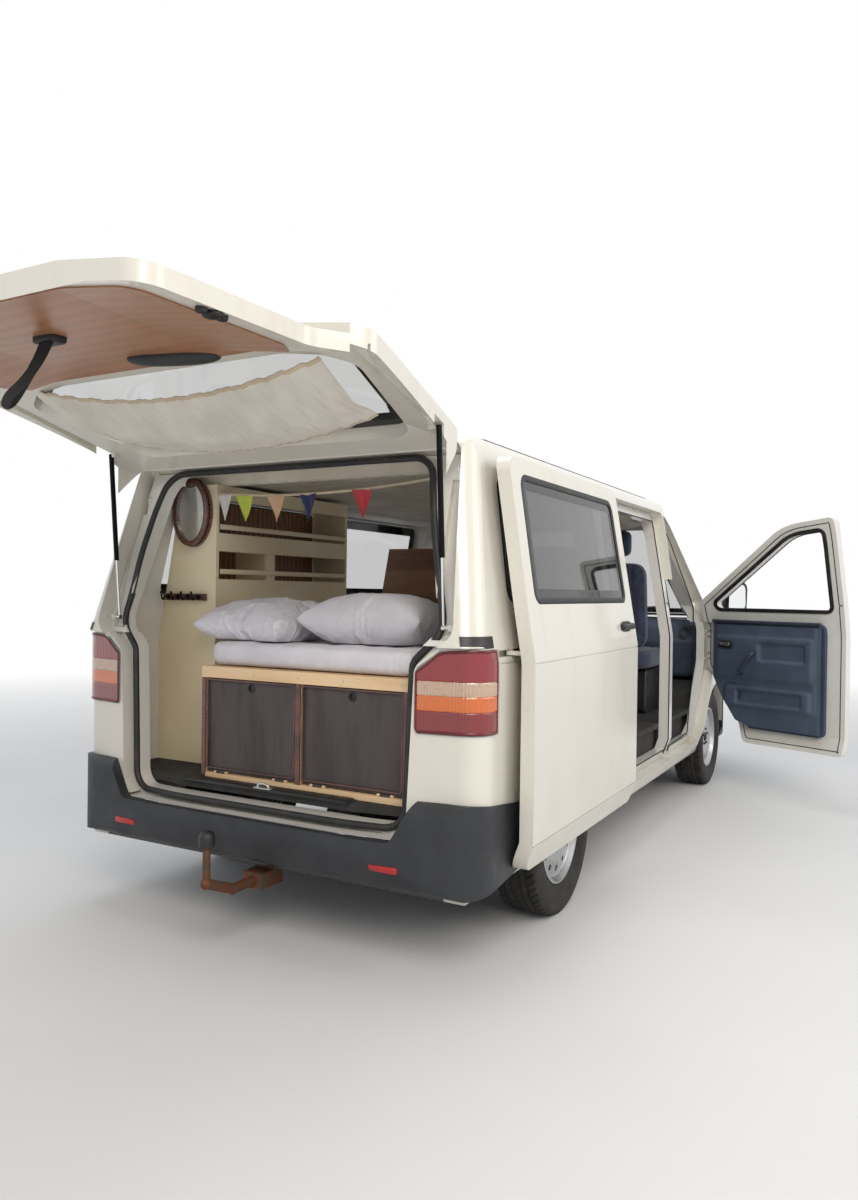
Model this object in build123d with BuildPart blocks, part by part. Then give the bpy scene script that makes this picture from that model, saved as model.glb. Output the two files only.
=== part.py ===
"""Camper van on a mid-size panel van: open tailgate, open sliding door, open right front door.

Millimetres. X runs forward from the rear axle, Y to the left from the van's centre plane and Z up from the
ground. Everything is modelled in those van coordinates and moved by middle_x and middle_y when it is written.
"""

import os
from math import atan2, cos, degrees, hypot, radians, sin, sqrt, tan

from build123d import *

os.makedirs("parts", exist_ok=True)

# where the van's own origin lies against the middle of the whole, doors open
middle_x = 875.5
middle_y = -328.3

# main sizes
wheelbase = 3000
track_half = 814
tyre_radius = 336
tyre_width = 205
rim_radius = 203
rim_width = 165
axle_height = tyre_radius
body_half = 952
arch_radius = 392
belt_height = 1165
lean = 0.1677
roof_height = 1972
nose_x = 3884
rear_x = -990
screen_base_x = 3370
screen_top_x = 2385
screen_top_z = 1893

# walls and gaps
wall = 58
door_wall = 52
frame_depth = 54
seam = 0.3
shut_line = 6
glass_thick = 5
floor_top = 575
floor_thick = 30

# tailgate
hinge_x = -745
hinge_z = 1897
tailgate_angle = 90
tailgate_foot = 505

# right front door, as it stands open
door_front_x = 2868
door_rear_x = 1872
door_hinge_x = 2858
door_hinge_y = 938
wing_x = 2882
door_angle = 66

# sliding door, as it stands open
slide_front_x = 1866
slide_rear_x = 590
slide_back = 1290
slide_out = 100

# bonnet
bonnet_hinge_x = 3401
bonnet_hinge_z = 1140

# bed
bed_rear_x = -800
bed_front_x = 1150
bed_left_y = 372
bed_right_y = -610
bed_top = 1036
bed_board = 18
mattress_thick = 104

strut_radius = 10
rod_radius = 4.5

# underneath
house_front_y = 500
house_rear_y = 650
steer_y = 720
hub_face_y = 865

to_middle = Location((-middle_x, -middle_y, 0))
pieces = {}


def rounded(rows):
    """Draws a closed outline of lines and arcs from rows of (across, up, corner radius).

    A radius is limited to what half of the shorter side beside its corner has room for.
    """
    ends = []
    count = len(rows)
    for i in range(count):
        before = Vector(rows[i - 1][0], rows[i - 1][1])
        at = Vector(rows[i][0], rows[i][1])
        after = Vector(rows[(i + 1) % count][0], rows[(i + 1) % count][1])
        into = (at - before).normalized()
        out = (after - at).normalized()
        turn = radians(into.get_angle(out))
        room = 0.49 * min((at - before).length, (after - at).length)
        radius = min(rows[i][2], room / tan(turn / 2)) if turn > 0.002 else 0
        if radius > 0:
            reach = radius * tan(turn / 2)
            middle = at + (out - into).normalized() * (radius / cos(turn / 2) - radius)
            ends.append((at - into * reach, middle, at + out * reach))
        else:
            ends.append((at, None, at))
    for i in range(count):
        start, middle, end = ends[i]
        if middle is not None:
            ThreePointArc(start, middle, end)
        following = ends[(i + 1) % count][0]
        if (following - end).length > 0.001:
            Line(end, following)


def inset(rows, depth):
    """The same outline moved inward by depth, or outward if depth is negative."""
    count = len(rows)
    area = sum(
        rows[i][0] * rows[(i + 1) % count][1] - rows[(i + 1) % count][0] * rows[i][1]
        for i in range(count)
    )
    side = 1 if area > 0 else -1
    lines = []
    for i in range(count):
        x0, y0 = rows[i][0], rows[i][1]
        x1, y1 = rows[(i + 1) % count][0], rows[(i + 1) % count][1]
        length = hypot(x1 - x0, y1 - y0)
        nx, ny = -(y1 - y0) / length * side, (x1 - x0) / length * side
        lines.append((x0 + nx * depth, y0 + ny * depth, x1 - x0, y1 - y0))
    moved = []
    for i in range(count):
        ax, ay, adx, ady = lines[i - 1]
        bx, by, bdx, bdy = lines[i]
        cross = adx * bdy - ady * bdx
        along = ((bx - ax) * bdy - (by - ay) * bdx) / cross
        radius = rows[i][2]
        if radius > 0:
            convex = cross * side > 0
            radius = max(radius - depth if convex else radius + depth, 4)
        moved.append((ax + adx * along, ay + ady * along, radius))
    return tuple(moved)


def side_block(rows, low, high):
    """Solid from a side-view outline of (x, z, radius) between two places across the van."""
    with BuildPart() as block:
        with BuildSketch(Plane(origin=(0, high, 0), x_dir=(1, 0, 0), z_dir=(0, -1, 0))):
            with BuildLine():
                rounded(rows)
            make_face()
        extrude(amount=high - low)
    return block.part


def end_block(rows, low, high):
    """Solid from a rear-view outline of (y, z, radius) between two places along the van."""
    with BuildPart() as block:
        with BuildSketch(Plane(origin=(low, 0, 0), x_dir=(0, 1, 0), z_dir=(1, 0, 0))):
            with BuildLine():
                rounded(rows)
            make_face()
        extrude(amount=high - low)
    return block.part


def plan_block(rows, low, high):
    """Solid from a plan outline of (x, y, radius) between two heights."""
    with BuildPart() as block:
        with BuildSketch(Plane.XY.offset(low)):
            with BuildLine():
                rounded(rows)
            make_face()
        extrude(amount=high - low)
    return block.part


def box(x0, x1, y0, y1, z0, z1):
    """Plain box between three pairs of places."""
    with BuildPart() as block:
        with Locations(((x0 + x1) / 2, (y0 + y1) / 2, (z0 + z1) / 2)):
            Box(x1 - x0, y1 - y0, z1 - z0)
    return block.part


def mirrored(half):
    """A symmetric outline from its right-hand half, listed from the bottom up."""
    left = [(-a, b, r) for a, b, r in reversed(half) if abs(a) > 0.01]
    return tuple(half) + tuple(left)


def flipped(solid):
    """The same solid on the other side of the van."""
    return mirror(solid, about=Plane.XZ)


# outer form: section across, profile along, plan outlines
shoulder_z = belt_height - (body_half - 943) / lean
roof_edge_z = 1938
roof_edge_y = 943 - lean * (roof_edge_z - belt_height)
section_rows = mirrored(
    (
        (880, 268, 50),
        (body_half, 470, 60),
        (body_half, shoulder_z, 250),
        (roof_edge_y, roof_edge_z, 140),
        (0, roof_height, 5000),
    )
)
profile_rows = (
    (-905, 300, 0),
    (3700, 262, 60),
    (3875, 330, 60),
    (nose_x, 620, 150),
    (3790, 960, 130),
    (screen_base_x, belt_height, 30),
    (screen_top_x, screen_top_z, 220),
    (1250, roof_height, 2500),
    (-250, roof_height - 10, 2500),
    (-745, 1905, 60),
    (-932, 1490, 500),
    (rear_x, 1150, 300),
    (-985, 500, 60),
    (-925, 440, 30),
)
corner_ease = 0.5
low_plan_half = (
    (-990, 330, 1300),
    (-905, body_half + corner_ease, 95),
    (3150, body_half + corner_ease, 800),
    (3600, 885, 400),
    (3830, 650, 260),
)
low_plan_rows = tuple(low_plan_half) + ((nose_x + 4, 0, 1500),) + tuple(
    (a, -b, r) for a, b, r in reversed(low_plan_half)
)
screen_slope = (screen_base_x - screen_top_x) / (screen_top_z - belt_height)
top_z = 2000
rear_slope = 0.24


def upper_rows(height, depth):
    """Plan outline of the greenhouse at one height, moved inward by depth."""
    rise = height - belt_height
    front = screen_base_x - screen_slope * rise - depth * sqrt(1 + screen_slope**2)
    rear = -1000 + rear_slope * rise + depth * sqrt(1 + rear_slope**2)
    half = 943 + corner_ease - lean * rise - depth * sqrt(1 + lean**2)
    shift = front - screen_base_x
    right = (
        (rear, half * 0.5, 900),
        (rear + 62, half, max(95 - depth, 20)),
        (2800 + shift, half, 1500),
        (3150 + shift, half - 60, 300),
        (3300 + shift, half - 200, 250),
    )
    left = tuple((a, -b, r) for a, b, r in reversed(right))
    return right + ((screen_base_x + shift, 0, 2500),) + left


forms = {}


def form(depth):
    """The van's whole outer form as one solid, moved inward by depth; each depth is made once."""
    if depth in forms:
        return forms[depth]
    with BuildPart() as tube:
        add(end_block(inset(section_rows, depth), -1100, 4000))
        add(side_block(inset(profile_rows, depth), -1100, 1100), mode=Mode.INTERSECT)
    with BuildPart() as greenhouse:
        for height in (belt_height, top_z):
            with BuildSketch(Plane.XY.offset(height)):
                with BuildLine():
                    rounded(upper_rows(height, depth))
                make_face()
        loft(ruled=True)
        add(tube.part, mode=Mode.INTERSECT)
    with BuildPart() as whole:
        add(plan_block(inset(low_plan_rows, depth), 200, belt_height))
        add(tube.part, mode=Mode.INTERSECT)
        add(greenhouse.part)
    forms[depth] = whole.part
    return whole.part



def keep(solid, *regions):
    """The share of a solid that lies in every region."""
    with BuildPart() as kept:
        add(solid)
        for region in regions:
            add(region, mode=Mode.INTERSECT)
    return kept.part


def less(solid, *tools):
    """A solid with the tools cut away."""
    with BuildPart() as kept:
        add(solid)
        add(list(tools), mode=Mode.SUBTRACT)
    return kept.part


def joined(*solids):
    """Several solids as one part."""
    with BuildPart() as whole:
        for solid in solids:
            add(solid)
    return whole.part


def rod(start, end, radius):
    """Round bar between two points."""
    start, end = Vector(*start), Vector(*end)
    with BuildPart() as bar:
        with BuildSketch(Plane(origin=start, z_dir=end - start)):
            Circle(radius)
        extrude(amount=(end - start).length)
    return bar.part


def turned(solid, x, y, angle):
    """A solid turned about an upright axis."""
    return solid.moved(Location((-x, -y, 0))).moved(Location((0, 0, 0), (0, 0, angle))).moved(Location((x, y, 0)))


def swung(solid, x, z, angle):
    """A solid turned about an axis that runs across the van."""
    return solid.moved(Location((-x, 0, -z))).moved(Location((0, 0, 0), (0, angle, 0))).moved(Location((x, 0, z)))


def write(label, solid):
    """Keeps a finished piece, moved to the middle of the whole, and writes its file."""
    piece = solid.moved(to_middle)
    piece.label = label
    pieces[label] = piece
    export_step(piece, "parts/" + label + ".step")


outer = form(0)
shell = less(outer, form(wall))
door_shell = less(outer, form(door_wall))
frame_shell = less(form(wall + seam), form(wall + seam + frame_depth))
proud = form(-6)
glass_shell = less(form(6), form(6 + glass_thick))

# outlines in side view: x, z, corner radius
front_door_rows = (
    (door_rear_x, 372, 20),
    (2555, 372, 60),
    (2640, 560, 260),
    (door_front_x, 870, 120),
    (door_front_x, 1300, 60),
    (2195, 1798, 380),
    (door_rear_x + 22, 1838, 30),
    (door_rear_x, 1300, 0),
)
front_window_rows = (
    (1950, 1262, 30),
    (2815, 1262, 30),
    (2165, 1738, 300),
    (1968, 1762, 30),
)
sliding_door_rows = (
    (slide_rear_x, 372, 60),
    (slide_front_x, 372, 20),
    (slide_front_x, 1845, 40),
    (slide_rear_x + 20, 1845, 60),
    (slide_rear_x, 1300, 0),
)
sliding_window_rows = (
    (slide_rear_x + 75, 1312, 45),
    (slide_front_x - 80, 1312, 45),
    (slide_front_x - 90, 1785, 60),
    (slide_rear_x + 95, 1785, 60),
)
quarter_window_rows = (
    (-640, 1318, 45),
    (500, 1312, 45),
    (500, 1785, 60),
    (-590, 1785, 60),
)
middle_window_rows = (
    (700, 1312, 45),
    (1740, 1312, 45),
    (1740, 1785, 60),
    (700, 1785, 60),
)

# outlines in rear view: y, z, corner radius, right-hand half
tailgate_half = ((672, tailgate_foot, 70), (698, 1100, 60), (845, 1205, 60), (778, 1893, 60))
tailgate_window_half = ((640, 1235, 60), (735, 1290, 60), (640, 1775, 70))
opening_half = ((640, 530, 70), (660, 1110, 60), (765, 1215, 90), (640, 1835, 90))
screen_half = ((735, 1190, 60), (612, 1858, 90))
lamp_half = ((712, 868, 12), (960, 868, 0), (960, 1158, 0), (795, 1150, 30), (712, 1091, 20))

gap_at_roof = 1152
tailgate_reach = end_block(mirrored(tailgate_half), -1010, -600)
tailgate_space = end_block(inset(mirrored(tailgate_half), -shut_line), -1010, -600)
behind_cut = side_block(((-1010, 300, 0), (-600, 300, 0), (-600, gap_at_roof + 600, 0), (-1010, gap_at_roof + 1010, 0)), -960, 960)
ahead_of_cut = side_block(
    (
        (gap_at_roof + 8.5 - 1960, 1960, 0),
        (gap_at_roof + 8.5 - 2050, 2050, 0),
        (2700, 2050, 0),
        (2700, 1500, 0),
        (gap_at_roof + 8.5 - 1500, 1500, 0),
    ),
    -960,
    960,
)

def knuckles(x, z, low, pin_radius):
    """Hinge on an axis across the van: the fixed half with its pin, the moving half, and the room each needs."""
    high = low + 70
    radius = 2 * pin_radius + 1
    fixed = joined(
        rod((x, low, z), (x, high, z), pin_radius),
        rod((x, low, z), (x, low + 12, z), radius),
        rod((x, high - 12, z), (x, high, z), radius),
    )
    bore = rod((x, low - 1, z), (x, high + 1, z), pin_radius + seam)
    moving = less(rod((x, low + 12 + seam, z), (x, high - 12 - seam, z), radius), bore)
    fixed_room = rod((x, low + 11.5, z), (x, high - 11.5, z), radius + 1.5)
    moving_room = joined(
        rod((x, low - 1, z), (x, low + 12 + seam, z), radius + 1.5),
        rod((x, high - 12 - seam, z), (x, high + 1, z), radius + 1.5),
        bore,
    )
    return fixed, moving, fixed_room, moving_room


def pair_of_knuckles(x, z, low, pin_radius):
    """The four solids of a hinge and of its mirror image, joined two by two."""
    return [joined(solid, flipped(solid)) for solid in knuckles(x, z, low, pin_radius)]


gate_fixed, gate_moving, gate_fixed_room, gate_moving_room = pair_of_knuckles(hinge_x, hinge_z, 470, 5)
bonnet_fixed, bonnet_moving, bonnet_fixed_room, bonnet_moving_room = pair_of_knuckles(bonnet_hinge_x, bonnet_hinge_z, 560, 4)
creases = less(
    joined(*[box(-900, 3300, 800, 1000, z, z + 5) for z in (466, 1104)]),
    form(4),
)
bar_holes = [rod((x, y, 1850), (x, y, 2000), 4) for x in (0, 1200) for y in (-650, 650)]

# body shell
roof_half = 748
screen_space = end_block(inset(mirrored(screen_half), -seam), 2330, 3450)
roof_region = box(-900, 2600, -roof_half, roof_half, 1840, 2000)
roof_panel = joined(less(keep(shell, roof_region, ahead_of_cut), screen_space, gate_fixed_room, *bar_holes), gate_fixed)


def arch(x, radius, low, high):
    """Round wheel-arch cutter."""
    return rod((x, low, axle_height), (x, high, axle_height), radius)


side_region_rows = (
    (-1010, 255, 0),
    (wing_x - seam, 255, 0),
    (wing_x - seam, belt_height + seam, 0),
    (3450, belt_height + seam, 0),
    (3450, 1500, 0),
    (2600, 2050, 0),
    (-1010, 2050, 0),
)


def body_side(windows, with_sliding_door):
    """Left-hand body side; the right one is its mirror image with the sliding-door opening."""
    side = keep(
        shell,
        side_block(side_region_rows, 600, 1000),
    )
    cutters = [
        box(-900, 3450, 0, roof_half + seam, 1840, 2050),
        box(-700, 3450, 0, 812, 200, 1300),
        box(-1010, 3450, 0, 812, 200, tailgate_foot),
        keep(tailgate_space, box(-1010, -600, 0, 1000, 300, 2000), behind_cut),
        screen_space,
        side_block(inset(front_door_rows, -shut_line), 600, 1000),
        arch(0, arch_radius, 600, 1000),
        arch(wheelbase, arch_radius, 600, 1000),
        box(2843, wing_x + 1, 600, 1000, 822, belt_height + seam),
        end_block(inset(lamp_half, -seam), -1010, -785),
        creases,
    ]
    for rows in windows:
        cutters.append(side_block(inset(rows, -seam), 600, 1000))
    if with_sliding_door:
        cutters.append(side_block(inset(sliding_door_rows, -shut_line), 600, 1000))
        cutters.append(box(-870, slide_rear_x, body_half - 34, 1000, 1128, 1152))
    return less(side, *cutters)


write("roof_panel", roof_panel)
write("body_side_left", body_side((quarter_window_rows, middle_window_rows), False))
write("body_side_right", flipped(body_side((quarter_window_rows,), True)))

# pillars, rails and sills behind the doors
front_opening_rows = inset(front_door_rows, 42)
sliding_opening_rows = inset(sliding_door_rows, 48)
frame_rows = ((520, 300, 30), (2600, 300, 60), (2905, 880, 60), (2905, 1300, 60), (2180, 1872, 90), (520, 1872, 60))
frame_band = keep(frame_shell, side_block(frame_rows, 700, 1000))
door_hinge_levels = (905, 1060)
door_pins = joined(
    *[rod((door_hinge_x, door_hinge_y, z), (door_hinge_x, door_hinge_y, z + 50), 5) for z in door_hinge_levels],
    *[
        box(door_hinge_x - 10, door_hinge_x + 10, 884, door_hinge_y + 6, z + lift, z + lift + 10)
        for z in door_hinge_levels
        for lift in (0, 40)
    ],
)
door_pin_room = joined(
    *[rod((door_hinge_x, door_hinge_y, z + 5), (door_hinge_x, door_hinge_y, z + 45), 5 + seam) for z in door_hinge_levels],
    *[
        box(door_hinge_x - 15, door_hinge_x + 15, 880, 960, z + lift - 1, z + lift + 11)
        for z in door_hinge_levels
        for lift in (0, 40)
    ],
)
pillars_right = flipped(
    less(
        frame_band,
        side_block(front_opening_rows, 600, 1000),
        side_block(sliding_opening_rows, 600, 1000),
        arch(wheelbase, arch_radius + 6, 600, 1000),
        screen_space,
    )
)
pillars_left = less(
    frame_band,
    side_block(front_opening_rows, 600, 1000),
    side_block(inset(middle_window_rows, -seam), 600, 1000),
    arch(wheelbase, arch_radius + 6, 600, 1000),
    screen_space,
)
write("pillars_left", joined(pillars_left, door_pins))
write("pillars_right", joined(pillars_right, flipped(door_pins)))

# rear frame round the tailgate opening, with the valance under it and the strut pins
strut_y = 785
strut_foot = (-880, 1228)
strut_head_shut = (-755, 1710)
channel_rows = ((-1000, 1185, 0), (-862, 1185, 8), (-733, 1705, 8), (-733, 1748, 8), (-1000, 1900, 0))
rear_region = side_block(((-960, 440, 0), (-560, 440, 0), (-560, gap_at_roof + 560, 0), (-1000, gap_at_roof + 1000, 0)), -900, 900)
quarter_rows = ((-559.7, 440, 0), (519.7, 330, 0), (519.7, 1872, 0), (-559.7, 1872, 0))
quarter_left = less(
    keep(frame_shell, side_block(quarter_rows, 700, 1000)),
    side_block(inset(quarter_window_rows, -seam), 600, 1000),
    arch(0, arch_radius + 6, 600, 1000),
)
write("quarter_frames", joined(quarter_left, flipped(quarter_left)))
rear_ring = less(
    keep(frame_shell, rear_region),
    end_block(mirrored(opening_half), -1100, -500),
    side_block(channel_rows, 742, 818),
    side_block(channel_rows, -818, -742),
    box(-740, -605, 776, 800, 1670, 1800),
    box(-740, -605, -800, -776, 1670, 1800),
    side_block(inset(quarter_window_rows, -seam), -1000, 1000),
    arch(0, arch_radius + 6, -1000, 1000),
)
valance = keep(shell, box(-1000, -600, -811, 811, 255, tailgate_foot - 9))
pin = joined(
    rod((strut_foot[0], strut_y + 6.3, strut_foot[1]), (strut_foot[0], 815, strut_foot[1]), 5),
    box(strut_foot[0] - 9, -848, 808, 826, strut_foot[1] - 11, strut_foot[1] + 11),
)
pins = (pin, flipped(pin))
rear_frame = joined(rear_ring, less(valance, arch(0, arch_radius, -1000, 1000)), *pins)
write("rear_frame", rear_frame)

# nose
bonnet_bracket_places = (560, 618, -572, -630)
lamp_front_half = ((436, 652, 15), (700, 652, 30), (905, 760, 60), (905, 905, 60), (700, 935, 60), (450, 868, 40))
nose_shell = keep(shell, box(2600, 3950, -960, 960, 255, belt_height))
headlamps = keep(less(proud, form(door_wall)), end_block(lamp_front_half, 3420, 3950))
headlamp_cut = end_block(inset(lamp_front_half, -seam), 3400, 3950)
bumper_top = 642
wing_left = less(
    keep(nose_shell, box(wing_x, 3950, 697, 960, 255, belt_height)),
    box(3385, 3950, 600, 960, 200, bumper_top + seam),
    arch(wheelbase, arch_radius, 600, 1000),
    headlamp_cut,
)
front_wings = joined(wing_left, flipped(wing_left))
write("front_wings", front_wings)
bonnet = less(
    keep(nose_shell, box(3392, 3950, -691, 691, 872, belt_height)),
    end_block(inset(lamp_front_half, -shut_line), 3400, 3950),
    flipped(end_block(inset(lamp_front_half, -shut_line), 3400, 3950)),
    bonnet_moving_room,
    *[
        rod((bonnet_hinge_x, y - 4, bonnet_hinge_z), (bonnet_hinge_x, y + 16, bonnet_hinge_z), 24)
        for y in bonnet_bracket_places
    ],
)
write("bonnet", joined(bonnet, bonnet_moving))
write("headlamps", joined(headlamps, flipped(headlamps)))
grille_frame = less(
    keep(nose_shell, box(3500, 3950, -430, 430, bumper_top + seam, 866)),
    *[box(3500, 3950, -400, 400, 672 + step * 46, 700 + step * 46) for step in range(4)],
)
write("radiator_grille", grille_frame)
front_bumper = less(
    keep(less(proud, form(door_wall)), box(3385 + seam, 3950, -980, 980, 240, bumper_top)),
    arch(wheelbase, arch_radius, -1000, 1000),
    *[box(3500, 3950, -330, 330, 330 + step * 60, 366 + step * 60) for step in range(3)],
)
write("front_bumper", front_bumper)
scuttle = joined(
    keep(shell, box(3200, 3376, -690, 690, 1090, 1186)),
    bonnet_fixed,
    box(3250, 3376, -600, 600, 1080, 1106),
    *[
        box(3340, bonnet_hinge_x + 4, y, y + 12, bonnet_hinge_z - 5, bonnet_hinge_z + 3)
        for y in bonnet_bracket_places
    ],
)
bulkhead = less(
    keep(form(wall + seam), box(3235, 3262, -860, 860, 380, 1088)),
    arch(wheelbase, arch_radius + 6, house_front_y - 5.3, 1000),
    arch(wheelbase, arch_radius + 6, -1000, -house_front_y + 5.3),
)
front_structure = joined(
    scuttle,
    bulkhead,
    *[box(3262, 3760, y0, y0 + 60, 420, 520) for y0 in (-460, 400)],
    box(3760, 3785, -560, 560, 400, 600),
)
write("front_structure", front_structure)

# glass
windscreen = keep(glass_shell, end_block(mirrored(screen_half), 2300, 3450))
side_glass = [side_block(rows, 700, 1000) for rows in (quarter_window_rows, middle_window_rows)]
left_quarter = keep(glass_shell, side_glass[0])
write("fixed_glass", joined(windscreen, left_quarter, flipped(left_quarter), keep(glass_shell, side_glass[1])))

# tail lamps
lamp_left = keep(less(proud, form(door_wall)), end_block(lamp_half, -1010, -790))
write("tail_lamps", joined(lamp_left, flipped(lamp_left)))

# rear bumper
bumper_plan_rows = (
    (-1004, 520, 900),
    (-955, 960, 150),
    (-505, 960, 40),
    (-505, 880, 0),
    (-505, -880, 0),
    (-505, -960, 40),
    (-955, -960, 150),
    (-1004, -520, 900),
)
bumper_side_rows = (
    (-955, 318, 40),
    (-505, 372, 30),
    (-505, 585, 30),
    (-880, 634, 0),
    (-960, 642, 60),
    (-1004, 560, 100),
    (-1004, 430, 120),
)
rear_bumper = less(
    keep(plan_block(bumper_plan_rows, 300, 660), side_block(bumper_side_rows, -1000, 1000)),
    form(-seam),
    end_block(((-640, 492, 40), (640, 492, 40), (760, 700, 0), (-760, 700, 0)), -1100, -850),
)
write("rear_bumper", rear_bumper)

# doors
def front_door():
    """Left front door, closed: shell with its window cut out."""
    panel = keep(door_shell, side_block(front_door_rows, 600, 1000))
    return less(panel, side_block(inset(front_window_rows, -seam), 600, 1000), door_pin_room, creases)


door_left = front_door()
door_glass = keep(glass_shell, side_block(front_window_rows, 600, 1000))
pocket_rows = ((1990, 470, 40), (2520, 470, 40), (2700, 800, 60), (2790, 1180, 40), (1990, 1180, 40))
door_trim = keep(less(form(door_wall + seam), form(door_wall + seam + 26)), side_block(pocket_rows, 600, 1000))
mirror_head = keep(
    end_block(((985, 1235, 30), (1180, 1225, 40), (1190, 1440, 50), (985, 1460, 40)), 2700, 2880),
    side_block(((2745, 1215, 60), (2860, 1240, 90), (2820, 1470, 60), (2745, 1470, 20)), 900, 1250),
)
mirror_arm = less(box(2768, 2822, 840, 990, 1290, 1330), form(-seam))


def mirrored_door(solid):
    """The right-hand copy of a left door piece, swung open about its hinge."""
    return turned(flipped(solid), door_hinge_x, -door_hinge_y, door_angle)


mirror_left = joined(mirror_head, mirror_arm)
write("front_door_left", door_left)
write("front_door_left_trim", door_trim)
write("front_door_left_glass", door_glass)
write("front_door_left_mirror", mirror_left)
write("front_door_right", mirrored_door(door_left))
write("front_door_right_trim", mirrored_door(door_trim))
write("front_door_right_mirror", mirrored_door(mirror_left))

slide = Location((-slide_back, slide_out, 0))
sliding_closed = less(
    keep(door_shell, side_block(sliding_door_rows, 600, 1000)),
    side_block(inset(sliding_window_rows, -seam), 600, 1000),
    creases,
)
roller_x = slide_rear_x - slide_back + 45
arm_x = slide_front_x - slide_back
roller_arms = (
    rod((roller_x, 933, 1128 + seam), (roller_x, 933, 1150), 13),
    box(roller_x - 26, roller_x + 26, 933, 1006, 1132, 1146),
    rod((arm_x - 40, 985, 434), (arm_x + 130, 880, 434), 8),
    rod((arm_x + 130, 880, 420 + seam), (arm_x + 130, 880, 446), 16),
    rod((arm_x - 40, 884, 1780), (arm_x + 50, 874, 1780), 8),
    rod((arm_x + 50, 874, 1780), (arm_x + 115, 760, 1780), 8),
    rod((arm_x + 115, 760, 1770), (arm_x + 115, 760, 1797 - seam), 14),
)
write("sliding_door", flipped(joined(sliding_closed.moved(slide), *roller_arms)))
write("sliding_door_glass", flipped(keep(glass_shell, side_block(sliding_window_rows, 600, 1000)).moved(slide)))

# tailgate, modelled shut and swung open
head_x, head_z = strut_head_shut
lugs = [
    joined(
        box(head_x - 45, head_x + 8, min(side * 750, side * 766), max(side * 750, side * 766), head_z - 15, head_z + 15),
        rod((head_x, side * 760, head_z), (head_x, side * (strut_y - 10.3), head_z), 5),
    )
    for side in (1, -1)
]
groove_rows = ((-768, 1728, 8), (-690, 1728, 0), (-690, 1196, 0), (-905, 1196, 8))
foot_groove_rows = ((-890, 1262, 8), (-690, 1262, 0), (-690, 1196, 0), (-905, 1196, 8))
groove = joined(side_block(groove_rows, 768, 802), side_block(foot_groove_rows, 800, 834))
strut_grooves = (groove, flipped(groove))
tailgate_shut = joined(
    less(
        keep(door_shell, tailgate_reach, behind_cut),
        end_block(inset(mirrored(tailgate_window_half), -seam), -1010, -600),
        gate_moving_room,
        *strut_grooves,
    ),
    gate_moving,
    *lugs,
)
lining_half = ((600, 540, 60), (620, 1080, 60), (560, 1190, 60))
lining_shut = keep(less(form(door_wall + seam), form(door_wall + seam + 4)), end_block(mirrored(lining_half), -1010, -800))
gate_glass_shut = keep(glass_shell, end_block(mirrored(tailgate_window_half), -1010, -640))


def opened(solid):
    """A tailgate piece swung from shut to open."""
    return swung(solid, hinge_x, hinge_z, tailgate_angle)


write("tailgate", opened(tailgate_shut))
write("tailgate_lining", opened(lining_shut))
write("tailgate_glass", opened(gate_glass_shut))

# gas struts as they stand with the tailgate open
head_dx, head_dz = strut_head_shut[0] - hinge_x, strut_head_shut[1] - hinge_z
strut_head = (hinge_x + head_dz, hinge_z - head_dx)
strut_line = Vector(strut_foot[0] - strut_head[0], 0, strut_foot[1] - strut_head[1])
strut_way = strut_line.normalized()
tube_length = 440


def strut(side):
    """One gas strut: the tube from the tailgate's ball and the rod to its eye."""
    y = side * strut_y
    head = Vector(strut_head[0], y, strut_head[1])
    foot = Vector(strut_foot[0], y, strut_foot[1])
    tube_end = head + strut_way * tube_length
    bore = rod(tube_end - strut_way * 300, tube_end + strut_way, rod_radius + 0.3)
    tube = less(rod(head - strut_way * 8, tube_end, strut_radius), bore)
    rod_end = foot - strut_way * 4
    shaft = rod(rod_end - strut_way * 285, rod_end, rod_radius)
    pad = rod(foot - Vector(0, 6, 0), foot + Vector(0, 6, 0), 9)
    return tube, joined(shaft, pad)


struts = [strut(side) for side in (1, -1)]
write("strut_tubes", joined(*[tube for tube, shaft in struts]))
write("strut_rods", joined(*[shaft for tube, shaft in struts]))

# curtain on the tailgate, a plain sheet that hangs in a sag
curtain_half = 655
curtain_thick = 3
curtain_rows = ((-1425, 2056, 75), (-1340, 2018, 85), (-1230, 1976, 92), (-1090, 1945, 90))
with BuildPart() as curtain:
    for y in (-curtain_half, -0.5 * curtain_half, 0, 0.5 * curtain_half, curtain_half):
        slack = 1 - (y / curtain_half) ** 2
        upper = [(x, z - sag * slack) for x, z, sag in curtain_rows]
        with BuildSketch(Plane(origin=(0, y, 0), x_dir=(1, 0, 0), z_dir=(0, -1, 0))):
            with BuildLine():
                Polyline(*upper, *[(x, z - curtain_thick) for x, z in reversed(upper)], close=True)
            make_face()
    loft(ruled=True)
write("tailgate_curtain", curtain.part)

# floor, wheel houses and underbody
def inner_y(height, gap=0.3):
    """Half the width inside the linings at one height."""
    depth = wall + seam + frame_depth + gap
    return min(body_half - depth, 943 - lean * (height - belt_height) - depth * sqrt(1 + lean**2))


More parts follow.
